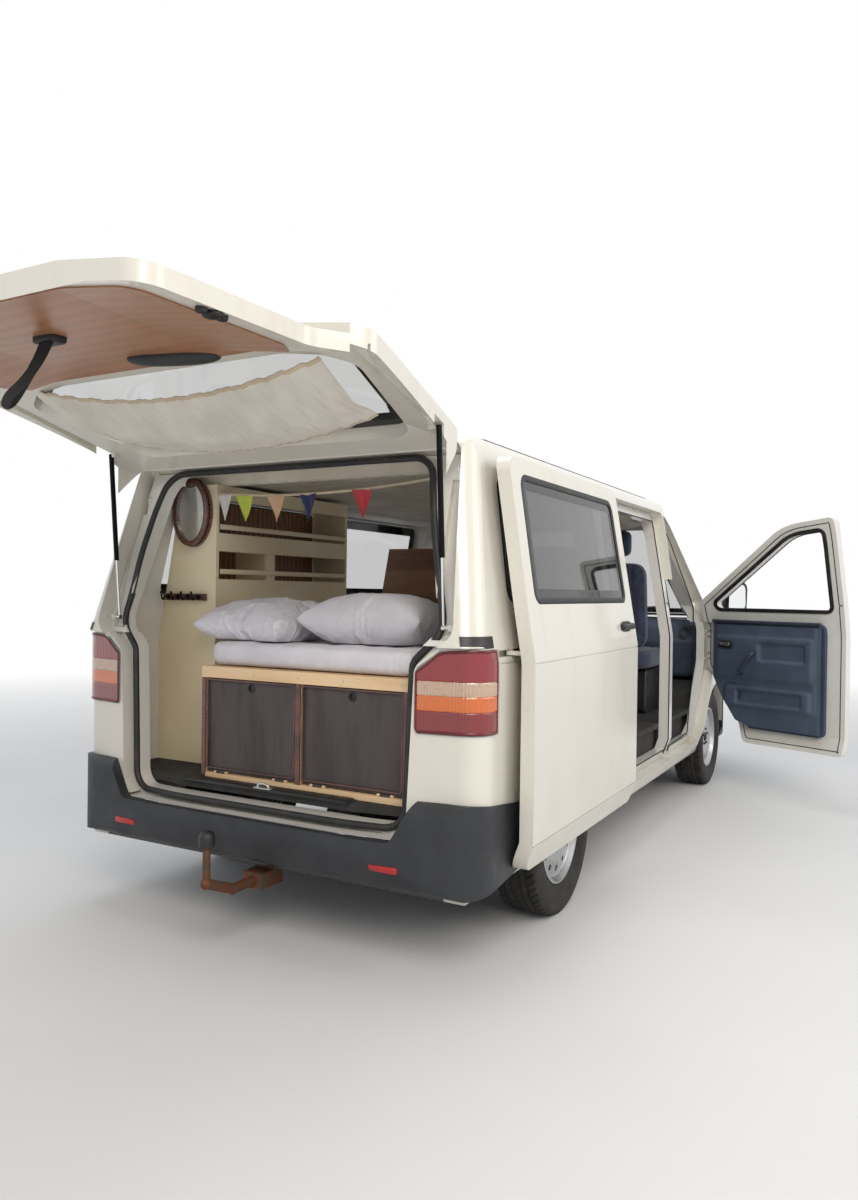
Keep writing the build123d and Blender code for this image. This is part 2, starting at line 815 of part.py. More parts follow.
floor_low = floor_top - floor_thick
floor_half = inner_y(800)
floor_tail_rows = ((-779, -790, 0), (-811.5, -790, 0), (-865.5, -400, 0), (-865.5, 400, 0), (-811.5, 790, 0), (-779, 790, 0))
house_cut = [
    arch(x, arch_radius + 6, side * (y - 5.3), side * 1000)
    for x, y in ((0, house_rear_y), (wheelbase, house_front_y))
    for side in (1, -1)
]
floor_plate = less(
    joined(
        box(-780, 3235, -floor_half, floor_half, floor_low, floor_top),
        plan_block(floor_tail_rows, floor_low, floor_top),
        *[box(430, 2560, min(side * 740, side * 808), max(side * 740, side * 808), 405, floor_low + 1) for side in (1, -1)],
        *[box(-780, 3235, min(side * 400, side * 460), max(side * 400, side * 460), 420, floor_low + 1) for side in (1, -1)],
    ),
    *house_cut,
)

houses = []
for x, y in ((0, house_rear_y), (wheelbase, house_front_y)):
    for side in (1, -1):
        drum = rod((x, side * (y - 5), axle_height), (x, side * (body_half - wall - 0.3), axle_height), arch_radius + 5.7)
        hollow = rod((x, side * y, axle_height), (x, side * 1000, axle_height), arch_radius + 1)
        houses.append(keep(less(drum, hollow, box(x - 500, x + 500, -1000, 1000, -100, 380)), form(wall + seam)))
write("floor_pan", joined(floor_plate, *houses))

ceiling_half = 699.7
ceiling = keep(frame_shell, box(-559.7, 2320, -ceiling_half, ceiling_half, 1780, 1990))
write("ceiling", ceiling)

write("engine_block", box(3290, 3640, -399.7, 399.7, 385, 880))
write("fuel_tank", keep(box(900, 1500, -100, 399.7, 330, floor_low - 0.3), side_block(((900, 330, 60), (1500, 330, 60), (1500, 560, 0), (900, 560, 0)), -200, 500)))
pipe_y, pipe_z = -260, 452
exhaust = joined(
    rod((3150, pipe_y, pipe_z), (-240, pipe_y, pipe_z), 26),
    rod((-700, pipe_y, pipe_z), (-240, pipe_y, pipe_z), 88),
    rod((-780, pipe_y, pipe_z - 50), (-690, pipe_y, pipe_z - 50), 24),
    *[box(x, x + 12, pipe_y - 15, pipe_y + 15, pipe_z, floor_low - 0.3) for x in (2700, 1750, 800)],
)
write("exhaust", exhaust)

rear_parts = [rod((300, -520, 345), (300, 520, 345), 30)]
for side in (1, -1):
    rear_parts += [
        rod((560, side * 500, 330), (0, side * 600, axle_height), 30),
        rod((0, side * 580, axle_height), (0, side * (hub_face_y - 0.3), axle_height), 42),
        rod((0, side * 712, axle_height), (0, side * 736, axle_height), 142),
        box(530, 590, side * 500 - 35, side * 500 + 35, 300, floor_low - 0.3),
        rod((110, side * 560, 345), (110, side * 560, floor_low - 0.3), 45),
    ]
write("rear_axle", joined(*rear_parts))

arm_z = 232
front_parts = [box(2900, 3100, -399.7, 399.7, 200, 290)]
for side in (1, -1):
    front_parts.append(rod((3000, side * 390, arm_z), (3000, side * steer_y, arm_z), 17))
    front_parts.append(rod((3000, side * steer_y, 206), (3000, side * steer_y, 255), 24))
    front_parts.append(box(2960, 3040, min(side * 395, side * 350), max(side * 395, side * 350), 285, floor_low - 0.3))
write("front_axle", joined(*front_parts))


def knuckle(side):
    """Steering knuckle with its hub, brake disc and damper tube."""
    return joined(
        box(2955, 3045, min(side * 655, side * 745), max(side * 655, side * 745), 255.3, 410),
        rod((wheelbase, side * 700, axle_height), (wheelbase, side * (hub_face_y - 0.3), axle_height), 42),
        rod((wheelbase, side * 790, axle_height), (wheelbase, side * 812, axle_height), 142),
        rod((wheelbase, side * 668, 400), (wheelbase, side * 668, 700), 22),
    )


write("knuckle_left", knuckle(1))
write("knuckle_right", knuckle(-1))

# wheels: rim and tyre, made for the left rear and copied
def wheel_profile(rows):
    """Body turned about the axle from rows of (across the van, radius, corner radius)."""
    with BuildPart() as body:
        with BuildSketch(Plane.YZ):
            with BuildLine():
                rounded(rows)
            make_face()
        revolve(axis=Axis.Y)
    return body.part


tyre_rows = (
    (-tyre_width / 2 + 14, rim_radius + 6.3, 0),
    (tyre_width / 2 - 14, rim_radius + 6.3, 0),
    (tyre_width / 2, rim_radius + 50, 60),
    (tyre_width / 2 - 6, tyre_radius, 24),
    (-tyre_width / 2 + 6, tyre_radius, 24),
    (-tyre_width / 2, rim_radius + 50, 60),
)
rim_half = rim_width / 2
disc_y = hub_face_y - track_half
rim_rows = (
    (-rim_half, rim_radius + 6, 2),
    (-rim_half, rim_radius - 4, 0),
    (disc_y - 6, rim_radius - 14, 4),
    (disc_y, rim_radius - 30, 4),
    (disc_y, 32, 0),
    (disc_y + 8, 32, 0),
    (disc_y + 8, 70, 4),
    (disc_y + 16, 120, 20),
    (disc_y + 6, rim_radius - 22, 8),
    (rim_half, rim_radius - 4, 0),
    (rim_half, rim_radius + 6, 2),
)
tyre = wheel_profile(tyre_rows)
rim = less(
    wheel_profile(rim_rows),
    *[
        rod(
            (150 * cos(radians(step * 30)), disc_y - 30, 150 * sin(radians(step * 30))),
            (150 * cos(radians(step * 30)), disc_y + 40, 150 * sin(radians(step * 30))),
            13,
        )
        for step in range(12)
    ],
)
for word, x, side in (("rear_left", 0, 1), ("rear_right", 0, -1), ("front_left", wheelbase, 1), ("front_right", wheelbase, -1)):
    for label, solid in (("tyre", tyre), ("rim", rim)):
        placed = solid if side > 0 else flipped(solid)
        write(label + "_" + word, placed.moved(Location((x, side * track_half, axle_height))))

# tow bar
ball_radius = 25
ball_z = 455
neck_x = -1180
neck_foot = (neck_x, 0, 300)
neck_knee = (-1040, 0, 242)
neck_end = (-860, 0, 242)
with BuildPart() as tow:
    with Locations((neck_x, 0, ball_z)):
        Sphere(ball_radius)
    add(rod(neck_foot, (neck_x, 0, ball_z - 12), 14))
    add(rod(neck_foot, neck_knee, 19))
    add(rod(neck_knee, neck_end, 19))
    with Locations(neck_foot, neck_knee):
        Sphere(21)
    add(box(-930, -800, -45, 45, 212, 272))
    add(box(-858, -800, -45, 45, 265, 298.5))
write("tow_bar", tow.part)

# cab
dash_rows = ((3234.7, 700, 0), (3234.7, 1140, 0), (3130, 1172, 60), (2985, 1130, 60), (2950, 1010, 40), (3010, 760, 60))
write(
    "dashboard",
    joined(
        keep(side_block(dash_rows, -820, 820), form(wall + seam)),
        box(3010, 3200, -480, 480, 640, 765),
        rod((3000, 420, 1020), (2868, 420, 1131), 26),
    ),
)
seat_back_rows = ((2115, 985, 30), (2235, 985, 40), (2165, 1560, 60), (2055, 1570, 60))
cushion_rows = ((2080, 870, 40), (2640, 860, 50), (2660, 985, 60), (2230, 990, 40), (2080, 975, 40))
seats = []
for side in (1, -1):
    low, high = (190, 700) if side > 0 else (-700, -190)
    middle = side * 445
    seats.append(
        joined(
            side_block(((2180, floor_top + 0.3, 10), (2580, floor_top + 0.3, 10), (2560, 875, 30), (2200, 875, 30)), low + 40, high - 40),
            side_block(cushion_rows, low, high),
            side_block(seat_back_rows, low + 20, high - 20),
            side_block(((2062, 1590, 30), (2150, 1590, 40), (2135, 1770, 40), (2052, 1770, 40)), middle - 130, middle + 130),
            rod((2105, middle - 60, 1540), (2102, middle - 60, 1620), 7),
            rod((2105, middle + 60, 1540), (2102, middle + 60, 1620), 7),
        )
    )
write("front_seats", joined(*seats))

steer_tilt = 40
wheel_ring_radius = 188
wheel_ring_axis = Vector(-cos(radians(steer_tilt)), 0, sin(radians(steer_tilt)))
ring_centre = Vector(2838, 420, 1156.5)
with BuildPart() as steering:
    with BuildSketch(Plane(origin=ring_centre, x_dir=(0, 1, 0), z_dir=wheel_ring_axis)):
        Circle(wheel_ring_radius + 14)
        Circle(wheel_ring_radius - 14, mode=Mode.SUBTRACT)
    extrude(amount=13, both=True)
    fillet(steering.edges(), 12.5)
    with BuildSketch(Plane(origin=ring_centre - wheel_ring_axis * 8, x_dir=(0, 1, 0), z_dir=wheel_ring_axis)):
        Circle(66)
        Rectangle(2 * wheel_ring_radius - 4, 34)
        with Locations((0, -wheel_ring_radius / 2 - 2)):
            Rectangle(40, wheel_ring_radius)
    extrude(amount=14)
    add(rod(ring_centre - wheel_ring_axis * 38.6, ring_centre, 26))
write("steering_wheel", steering.part)

# sleeping berth
bed_low = floor_top + 0.3
rail_low = 990
flap_low = 605
flap_gap = 4
post_y = -118
flap_axis = (-803, 603)
flap_y = (
    ("left", post_y + 12 + flap_gap, bed_left_y - bed_board - flap_gap),
    ("right", bed_right_y + bed_board + flap_gap, post_y - 12 - flap_gap),
)
flap_hinges = [
    [knuckles(flap_axis[0], flap_axis[1], y, 2.6) for y in (low + 40, high - 110)] for word, low, high in flap_y
]
bed_parts = [
    box(bed_rear_x, bed_front_x, bed_left_y - bed_board, bed_left_y, bed_low, bed_top),
    box(bed_rear_x, bed_front_x, bed_right_y, bed_right_y + bed_board, bed_low, bed_top),
    box(bed_front_x - bed_board, bed_front_x, bed_right_y, bed_left_y, bed_low, bed_top),
    box(bed_rear_x + bed_board, bed_front_x, bed_right_y, bed_left_y, bed_top - bed_board, bed_top),
    box(bed_rear_x, bed_rear_x + bed_board, bed_right_y, bed_left_y, rail_low, bed_top),
    box(bed_rear_x, bed_rear_x + bed_board, bed_right_y, bed_left_y, bed_low, flap_low - flap_gap),
    box(bed_rear_x, bed_rear_x + 300, post_y - 12, post_y + 12, bed_low, bed_top),
]
hinge_fixed = [solids[0] for pair in flap_hinges for solids in pair]
hinge_room = [solids[2] for pair in flap_hinges for solids in pair]
write("bed_box", joined(less(joined(*bed_parts), *hinge_room), *hinge_fixed))
for (word, low, high), pair in zip(flap_y, flap_hinges):
    middle = (low + high) / 2
    plate = box(bed_rear_x, bed_rear_x + bed_board, low, high, flap_low, rail_low - flap_gap)
    finger_hole = rod((bed_rear_x - 5, middle, 955), (bed_rear_x + bed_board + 5, middle, 955), 12)
    write(
        "bed_flap_" + word,
        joined(less(plate, finger_hole, *[solids[3] for solids in pair]), *[solids[1] for solids in pair]),
    )

mattress_low = bed_top + 0.3
mattress_high = mattress_low + mattress_thick
with BuildPart() as mattress:
    add(box(-795, 1125, -606, 368, mattress_low, mattress_high))
    fillet(mattress.edges(), 30)
write("mattress", mattress.part)

pillow_table = ((-555, 247, 485, 430, 205), (-510, -301, 585, 440, 215))
pillow_list = []
for x, y, along, across, high in pillow_table:
    with BuildPart() as pillow:
        add(box(x - across / 2, x + across / 2, y - along / 2, y + along / 2, mattress_high + 0.3, mattress_high + 0.3 + high))
        fillet(pillow.edges(), high * 0.42)
    pillow_list.append(pillow.part)
write("pillows", joined(*pillow_list))

cabinet_front_y = 500
cabinet_rear_x, cabinet_front_x = -600, 418
cabinet_top = 1812
board = 18
cabinet_rows = (
    (cabinet_front_y, bed_low, 0),
    (floor_half, bed_low, 0),
    (floor_half, shoulder_z - 20, 0),
    (inner_y(1175), 1175, 0),
    (inner_y(cabinet_top) - 12, cabinet_top, 0),
    (cabinet_front_y, cabinet_top, 0),
)
bays = [
    box(cabinet_rear_x + board, cabinet_front_x - board, cabinet_front_y + board, 1000, 1548, cabinet_top - board),
    box(cabinet_rear_x + board, cabinet_front_x - board, cabinet_front_y - 1, cabinet_front_y + board + 1, 1600, 1748),
    box(cabinet_rear_x + board, -230, cabinet_front_y + board, 1000, 1378, 1530),
    box(-212, cabinet_front_x - board, cabinet_front_y + board, 1000, 1378, 1530),
    box(cabinet_rear_x + board, -250, cabinet_front_y - 1, cabinet_front_y + board + 1, 1396, 1520),
    box(-192, cabinet_front_x - board, cabinet_front_y - 1, cabinet_front_y + board + 1, 1396, 1520),
]
house_clear = arch(0, arch_radius + 14, 600, 1000)
write("shelf_unit", less(end_block(cabinet_rows, cabinet_rear_x, cabinet_front_x), *bays, house_clear))
with BuildPart() as oval:
    with BuildSketch(Plane(origin=(cabinet_rear_x - 0.3, 626, 1690), x_dir=(0, 1, 0), z_dir=(1, 0, 0))):
        Ellipse(106, 152)
    extrude(amount=-18)
hook_rail = box(cabinet_rear_x - 22.3, cabinet_rear_x - 0.3, 550, 790, 1300, 1330)
write("mirror_and_hook_rail", joined(oval.part, hook_rail))
board_rows = ((-600, bed_low, 0), (floor_half, bed_low, 0), (floor_half, 1085, 0), (inner_y(1620) - 10, 1620, 0), (-600, 1620, 60))
write("partition_board", end_block(board_rows, 1252, 1270))
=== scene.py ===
import math

import bmesh
import bpy
import numpy as np
from mathutils import Matrix, Vector
from mathutils.bvhtree import BVHTree


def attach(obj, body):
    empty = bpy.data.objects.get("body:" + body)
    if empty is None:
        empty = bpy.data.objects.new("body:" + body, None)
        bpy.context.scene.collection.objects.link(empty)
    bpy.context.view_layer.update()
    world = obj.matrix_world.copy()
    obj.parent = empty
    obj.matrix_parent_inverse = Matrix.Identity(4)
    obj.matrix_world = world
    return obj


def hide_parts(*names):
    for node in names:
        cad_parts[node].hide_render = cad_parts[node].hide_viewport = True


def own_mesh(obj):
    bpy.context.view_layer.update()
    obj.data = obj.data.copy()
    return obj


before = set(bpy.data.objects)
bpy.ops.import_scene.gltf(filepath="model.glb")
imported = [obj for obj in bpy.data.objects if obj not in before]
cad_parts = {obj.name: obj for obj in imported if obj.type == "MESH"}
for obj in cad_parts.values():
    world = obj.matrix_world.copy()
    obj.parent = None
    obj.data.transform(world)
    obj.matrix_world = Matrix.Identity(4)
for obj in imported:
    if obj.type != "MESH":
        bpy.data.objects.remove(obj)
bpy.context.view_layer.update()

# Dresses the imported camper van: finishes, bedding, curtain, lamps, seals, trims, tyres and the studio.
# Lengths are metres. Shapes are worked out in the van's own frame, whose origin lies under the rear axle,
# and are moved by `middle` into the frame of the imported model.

bl_info = {
    "name": "Camper van dressing",
    "version": (1, 0, 0),
    "blender": (4, 5, 0),
    "location": "View3D > Sidebar > Camper",
    "description": "Adds the finishes, soft goods, lamps, seals and trims of a camper van",
    "category": "Object",
}

# edges sharper than this are shaded as creases
SHARP_ANGLE = math.radians(38)
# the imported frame's origin in the van's own frame
middle = np.array([0.8755, -0.3283, 0.0])

# sides of the van as (sign of y, word)
SIDES = ((1, "left"), (-1, "right"))
# heights and distances clear of the van, from which rays are cast at it
ABOVE = 3.0
AHEAD = 5.0
BESIDE = 1.5


def outline(rows, steps=6):
    """Closed outline with rounded corners from rows of (across, up, radius).

    Each corner is an arc of a circle tangent to both of its sides, sampled at steps + 1 equal angles.
    """
    rows = np.array(rows, float)
    at = rows[:, :2]
    into = at - np.roll(at, 1, 0)
    out = np.roll(at, -1, 0) - at
    long_in = np.linalg.norm(into, axis=1)
    long_out = np.linalg.norm(out, axis=1)
    into = into / long_in[:, None]
    out = out / long_out[:, None]
    turn = np.arccos(np.clip((into * out).sum(1), -1, 1))
    slope = np.maximum(np.tan(turn / 2), 1e-6)
    radius = np.minimum(rows[:, 2], 0.49 * np.minimum(long_in, long_out) / slope)
    share = np.linspace(0, 1, steps + 1)[None, :, None]
    start = (at - into * (radius * slope)[:, None])[:, None]
    end = (at + out * (radius * slope)[:, None])[:, None]
    corner = at[:, None]
    bend = (1 - share) ** 2 * start + 2 * share * (1 - share) * corner * np.cos(turn / 2)[:, None, None]
    weight = (1 - share) ** 2 + 2 * share * (1 - share) * np.cos(turn / 2)[:, None, None] + share**2
    return ((bend + share**2 * end) / weight).reshape(-1, 2)


def grid_faces(rows, columns, close_rows=False, close_columns=False):
    """Quads of a grid of rows by columns points, with its ends joined where asked."""
    i = np.arange(rows if close_rows else rows - 1)[:, None]
    j = np.arange(columns if close_columns else columns - 1)[None, :]
    down = (i + 1) % rows
    right = (j + 1) % columns
    corners = (i * columns + j, i * columns + right, down * columns + right, down * columns + j)
    return np.stack(corners, -1).reshape(-1, 4)


def grid_edge(rows, columns):
    """Indices of the points round the edge of a grid, in order."""
    right = np.arange(1, rows) * columns + columns - 1
    under = (rows - 1) * columns + np.arange(columns - 2, -1, -1)
    left = np.arange(rows - 2, 0, -1) * columns
    return np.concatenate([np.arange(columns), right, under, left])


class Shape:
    """Points and faces gathered from several surfaces, to become one mesh."""

    def __init__(self):
        self.points = []
        self.faces = []
        self.count = 0

    def add(self, points, faces):
        """Adds a surface: its points as rows of x, y, z and its faces as rows of indices."""
        points = np.asarray(points, float).reshape(-1, 3)
        self.points.append(points)
        self.faces += (np.asarray(faces) + self.count).tolist()
        self.count += len(points)
        return self

    def grid(self, points, close_rows=False, close_columns=False, caps=False):
        """Adds a grid of points of shape (rows, columns, 3), and a flat cap at each end where asked."""
        rows, columns = points.shape[:2]
        start = self.count
        self.add(points, grid_faces(rows, columns, close_rows, close_columns))
        if caps:
            self.faces.append(list(range(start + columns - 1, start - 1, -1)))
            self.faces.append(list(range(start + (rows - 1) * columns, start + rows * columns)))
        return self

    def carry(self, path, profile, up=(0, 0, 1), closed=False):
        """Adds a profile carried along a path: joined end to end where closed, else capped at both ends."""
        return self.grid(along(path, profile, up, closed), closed, True, not closed)

    def shell(self, front, back):
        """Adds a closed shell: a front grid, a back grid of its size turned round, and the wall between."""
        rows, columns = front.shape[:2]
        total = rows * columns
        faces = grid_faces(rows, columns)
        edge = grid_edge(rows, columns)
        following = np.roll(edge, -1)
        wall = np.stack([following, edge, edge + total, following + total], -1)
        points = np.concatenate([front.reshape(-1, 3), back.reshape(-1, 3)])
        return self.add(points, np.concatenate([faces, faces[:, ::-1] + total, wall]))

    def plate(self, outline_points, low, high, axis=2, bevel=0.0):
        """Adds a plate: an outline in two directions, raised along the third between low and high.

        With a bevel, the outline shrinks towards its centre over that much at both faces.
        """
        flat = np.asarray(outline_points, float)
        centre = flat.mean(0)
        reach = np.abs(flat - centre).max()
        small = centre + (flat - centre) * (1 - bevel / reach)
        levels = [(small, low), (flat, low + bevel), (flat, high - bevel), (small, high)]
        first, second = [k for k in range(3) if k != axis]
        rings = []
        for edge, level in levels:
            full = np.empty((len(edge), 3))
            full[:, first] = edge[:, 0]
            full[:, second] = edge[:, 1]
            full[:, axis] = level
            rings.append(full)
        return self.grid(np.stack(rings), close_columns=True, caps=True)

    def object(self, name, finish, body, replaces=()):
        """Makes the mesh an object that rides on a body, with its finish."""
        mesh = bpy.data.meshes.new(name)
        points = np.concatenate(self.points) - middle
        mesh.from_pydata(points.tolist(), [], self.faces)
        work = bmesh.new()
        work.from_mesh(mesh)
        bmesh.ops.remove_doubles(work, verts=work.verts, dist=1e-6)
        bmesh.ops.recalc_face_normals(work, faces=work.faces)
        work.to_mesh(mesh)
        work.free()
        mesh.shade_smooth()
        mesh.set_sharp_from_angle(angle=SHARP_ANGLE)
        piece = bpy.data.objects.new(name, mesh)
        bpy.context.collection.objects.link(piece)
        mesh.materials.append(finishes[finish])
        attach(piece, body)
        if replaces:
            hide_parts(*replaces)
        return piece


def along(path, profile, up=(0, 0, 1), closed=False):
    """Grid of a profile carried along a path.

    At each point of the path the profile's first direction is level with `up` across the path, and its second
    is square to both. Returns points of shape (path, profile, 3).
    """
    path = np.asarray(path, float)
    if closed:
        tangent = np.roll(path, -1, 0) - np.roll(path, 1, 0)
    else:
        tangent = np.gradient(path, axis=0)
    tangent /= np.linalg.norm(tangent, axis=1)[:, None]
    up = np.broadcast_to(np.asarray(up, float), path.shape)
    side = np.cross(tangent, up)
    side /= np.maximum(np.linalg.norm(side, axis=1)[:, None], 1e-9)
    over = np.cross(side, tangent)
    profile = np.asarray(profile, float)
    return path[:, None] + side[:, None] * profile[None, :, :1] + over[:, None] * profile[None, :, 1:]


def ring(radius, count=12, squash=1.0):
    """Circle, or ellipse with squash, as count points of (across, over)."""
    angle = np.linspace(0, 2 * np.pi, count, endpoint=False)
    return np.stack([radius * np.cos(angle), radius * squash * np.sin(angle)], -1)


def curve_through(points, count, closed=False):
    """Smooth curve through points: a Catmull-Rom spline sampled at count equal steps of its parameter."""
    points = np.asarray(points, float)
    if closed:
        padded = np.concatenate([points[-1:], points, points[:2]])
        spans = len(points)
    else:
        padded = np.concatenate([2 * points[:1] - points[1:2], points, 2 * points[-1:] - points[-2:-1]])
        spans = len(points) - 1
    t = np.linspace(0, spans, count, endpoint=not closed)
    k = np.minimum(t.astype(int), spans - 1)
    u = (t - k)[:, None]
    a, b, c, d = padded[k], padded[k + 1], padded[k + 2], padded[k + 3]
    return 0.5 * (2 * b + (c - a) * u + (2 * a - 5 * b + 4 * c - d) * u**2 + (3 * b - a - 3 * c + d) * u**3)


def evenly(points, count, closed=True):
    """The same line with count points at equal distances along it."""
    points = np.asarray(points, float)
    if closed:
        points = np.concatenate([points, points[:1]])
    step = np.linalg.norm(np.diff(points, axis=0), axis=1)
    gone = np.concatenate([[0], np.cumsum(step)])
    at = np.linspace(0, gone[-1], count, endpoint=not closed)
    return np.stack([np.interp(at, gone, points[:, k]) for k in range(points.shape[1])], -1)


def grown(points, by):
    """A closed flat outline moved outward by a distance, square to its own line."""
    run = np.roll(points, -1, 0) - np.roll(points, 1, 0)
    square = np.stack([run[:, 1], -run[:, 0]], -1)
    square /= np.maximum(np.linalg.norm(square, axis=1), 1e-9)[:, None]
    following = np.roll(points, -1, 0)
    area = (points[:, 0] * following[:, 1] - following[:, 0] * points[:, 1]).sum()
    return points + square * by * np.sign(area)


def mirrored(half):
    """A symmetric outline from its right-hand half, listed from the bottom up."""
    return tuple(half) + tuple((-a, b, r) for a, b, r in reversed(half))


skins = {}


def skin(names):
    """Search tree over the faces of CAD nodes, in van coordinates, made once for each set of names."""
    if names not in skins:
        points, faces, count = [], [], 0
        for name in names.split():
            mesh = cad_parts[name].data
            where = np.empty(3 * len(mesh.vertices))
            mesh.vertices.foreach_get("co", where)
            points.append(where.reshape(-1, 3) + middle)
            corners = np.empty(len(mesh.loops), int)
            mesh.loops.foreach_get("vertex_index", corners)
            faces += (corners.reshape(-1, 3) + count).tolist()
            count += len(mesh.vertices)
        skins[names] = BVHTree.FromPolygons(np.concatenate(points).tolist(), faces)
    return skins[names]


def lay(names, starts, way, proud=0.0):
    """Where rays from the starts meet CAD nodes, held off them by proud, and the surface's directions there.

    A ray that misses goes as far as its neighbours in the list do. The result has the shape of the starts.
    """
    tree = skin(names)
    starts = np.asarray(starts, float)
    ways = np.broadcast_to(np.asarray(way, float), starts.shape).reshape(-1, 3)
    flat = starts.reshape(-1, 3)
    hits = [tree.ray_cast(Vector(p), Vector(w)) for p, w in zip(flat, ways)]
    gone = np.array([np.nan if hit[3] is None else hit[3] for hit in hits])
    normal = np.array([-w if hit[1] is None else np.array(hit[1]) for hit, w in zip(hits, ways)])
    normal *= -np.sign((normal * ways).sum(1))[:, None]
    missed = np.isnan(gone)
    if missed.all():
        raise RuntimeError("no ray meets " + names)
    gone[missed] = np.interp(np.flatnonzero(missed), np.flatnonzero(~missed), gone[~missed])
    points = flat + ways * (gone - proud)[:, None]
    return points.reshape(starts.shape), normal.reshape(starts.shape)


def laid_outline(rows, by, count, axis, start, names, proud=0.0):
    """An outline, grown by a distance and cast along an axis from a start onto CAD nodes."""
    flat = evenly(grown(outline(rows, 8), by), count)
    way = np.zeros(3)
    way[axis] = -np.sign(start)
    return lay(names, np.insert(flat, axis, start, axis=1), way, proud)


def pebble(centre, size, square=0.5, rows=14, columns=28, turn=None):
    """Superellipsoid: latitude and longitude curves whose sines and cosines are raised to `square`.

    A power of 1 gives an ellipsoid, and nearer 0 gives a box with rounded edges. `size` is the whole length
    each way.
    """
    up = np.linspace(-np.pi / 2, np.pi / 2, rows)[:, None]
    round_ = np.linspace(0, 2 * np.pi, columns, endpoint=False)[None, :]

    def power(value):
        return np.sign(value) * np.abs(value) ** square

    level = power(np.cos(up))
    upright = power(np.sin(up)) * np.ones_like(round_)
    made = np.stack([level * power(np.cos(round_)), level * power(np.sin(round_)), upright], -1)
    made = made * np.array(size) / 2
    if turn is not None:
        made = made @ np.asarray(turn, float).T
    return made + np.array(centre)


def spin(profile, centre, axis, columns=48, start=0.0):
    """Surface of revolution: rows of (radius, along) turned about an axis through the centre."""
    profile = np.asarray(profile, float)
    axis = np.asarray(axis, float) / np.linalg.norm(axis)
    first = np.cross(axis, (0, 0, 1.0) if abs(axis[2]) < 0.9 else (1.0, 0, 0))
    first /= np.linalg.norm(first)
    second = np.cross(axis, first)
    angle = np.linspace(0, 2 * np.pi, columns, endpoint=False) + start
    arm = np.cos(angle)[:, None] * first + np.sin(angle)[:, None] * second
    return np.array(centre) + profile[:, None, :1] * arm[None] + profile[:, None, 1:] * axis


def panel(left, right, low, high, radius, steps):
    """Rectangle with rounded corners, as an outline."""
    corners = ((left, low, radius), (right, low, radius), (right, high, radius), (left, high, radius))
    return outline(corners, steps)


def strap_profile(width, thick):
    """Section of a flat band with rounded edges, as (across, over)."""
    return panel(-width / 2, width / 2, 0, thick, thick / 3, 3)


def border_profile(half, high):
    """Section of a pane's printed border, as (across, over)."""
    return ((-half, 0.0003), (-half, high), (half, high), (half, 0.0003))


def turn_about(axis, angle):
    """Turning matrix about an axis, as an array."""
    return np.array(Matrix.Rotation(angle, 3, Vector(axis)))


def open_door(points):
    """The shut left door's place taken to the open right door: mirrored, then turned about its hinge."""
    hinge = np.array(DOOR_HINGE) * (1, -1, 1)
    return (np.asarray(points, float) * (1, -1, 1) - hinge) @ turn_about((0, 0, 1), DOOR_ANGLE).T + hinge


def slid(rows):
    """Side view of a piece of the sliding door, moved back to where the door stands open."""
    return tuple((x - SLIDE_BACK, z, r) for x, z, r in rows)


# hinge lines of the tailgate as (x, z) and of the left front door as (x, y, z)
GATE_HINGE = (-0.745, 1.897)
DOOR_HINGE = (2.858, 0.938, 0.0)
DOOR_ANGLE = math.radians(66)
SLIDE_BACK = 1.29
WHEELBASE = 3.0
WHEEL_RADIUS = 0.336
# distance of a wheel's middle plane from the van's
WHEEL_SIDE = 0.814

# outlines shared with the CAD: side views are (x, z, radius), rear views (y, z, radius)
front_door_rows = (
    (1.872, 0.372, 0.02), (2.555, 0.372, 0.06), (2.64, 0.56, 0.26), (2.868, 0.87, 0.12), (2.868, 1.3, 0.06),
    (2.195, 1.798, 0.38), (1.894, 1.838, 0.03), (1.872, 1.3, 0.0),
)
front_window_rows = ((1.95, 1.262, 0.03), (2.815, 1.262, 0.03), (2.165, 1.738, 0.3), (1.968, 1.762, 0.03))
sliding_door_rows = (
    (0.59, 0.372, 0.06), (1.866, 0.372, 0.02), (1.866, 1.845, 0.04), (0.61, 1.845, 0.06), (0.59, 1.3, 0.0),
)
sliding_window_rows = (
    (0.665, 1.312, 0.045), (1.786, 1.312, 0.045), (1.776, 1.785, 0.06), (0.685, 1.785, 0.06)
)
quarter_window_rows = ((-0.64, 1.318, 0.045), (0.5, 1.312, 0.045), (0.5, 1.785, 0.06), (-0.59, 1.785, 0.06))
middle_window_rows = ((0.7, 1.312, 0.045), (1.74, 1.312, 0.045), (1.74, 1.785, 0.06), (0.7, 1.785, 0.06))
tailgate_window_rows = mirrored(((0.64, 1.235, 0.06), (0.735, 1.29, 0.06), (0.64, 1.775, 0.07)))
opening_rows = mirrored(((0.64, 0.53, 0.07), (0.66, 1.11, 0.06), (0.765, 1.215, 0.09), (0.64, 1.835, 0.09)))
windscreen_rows = mirrored(((0.735, 1.19, 0.06), (0.612, 1.858, 0.09)))


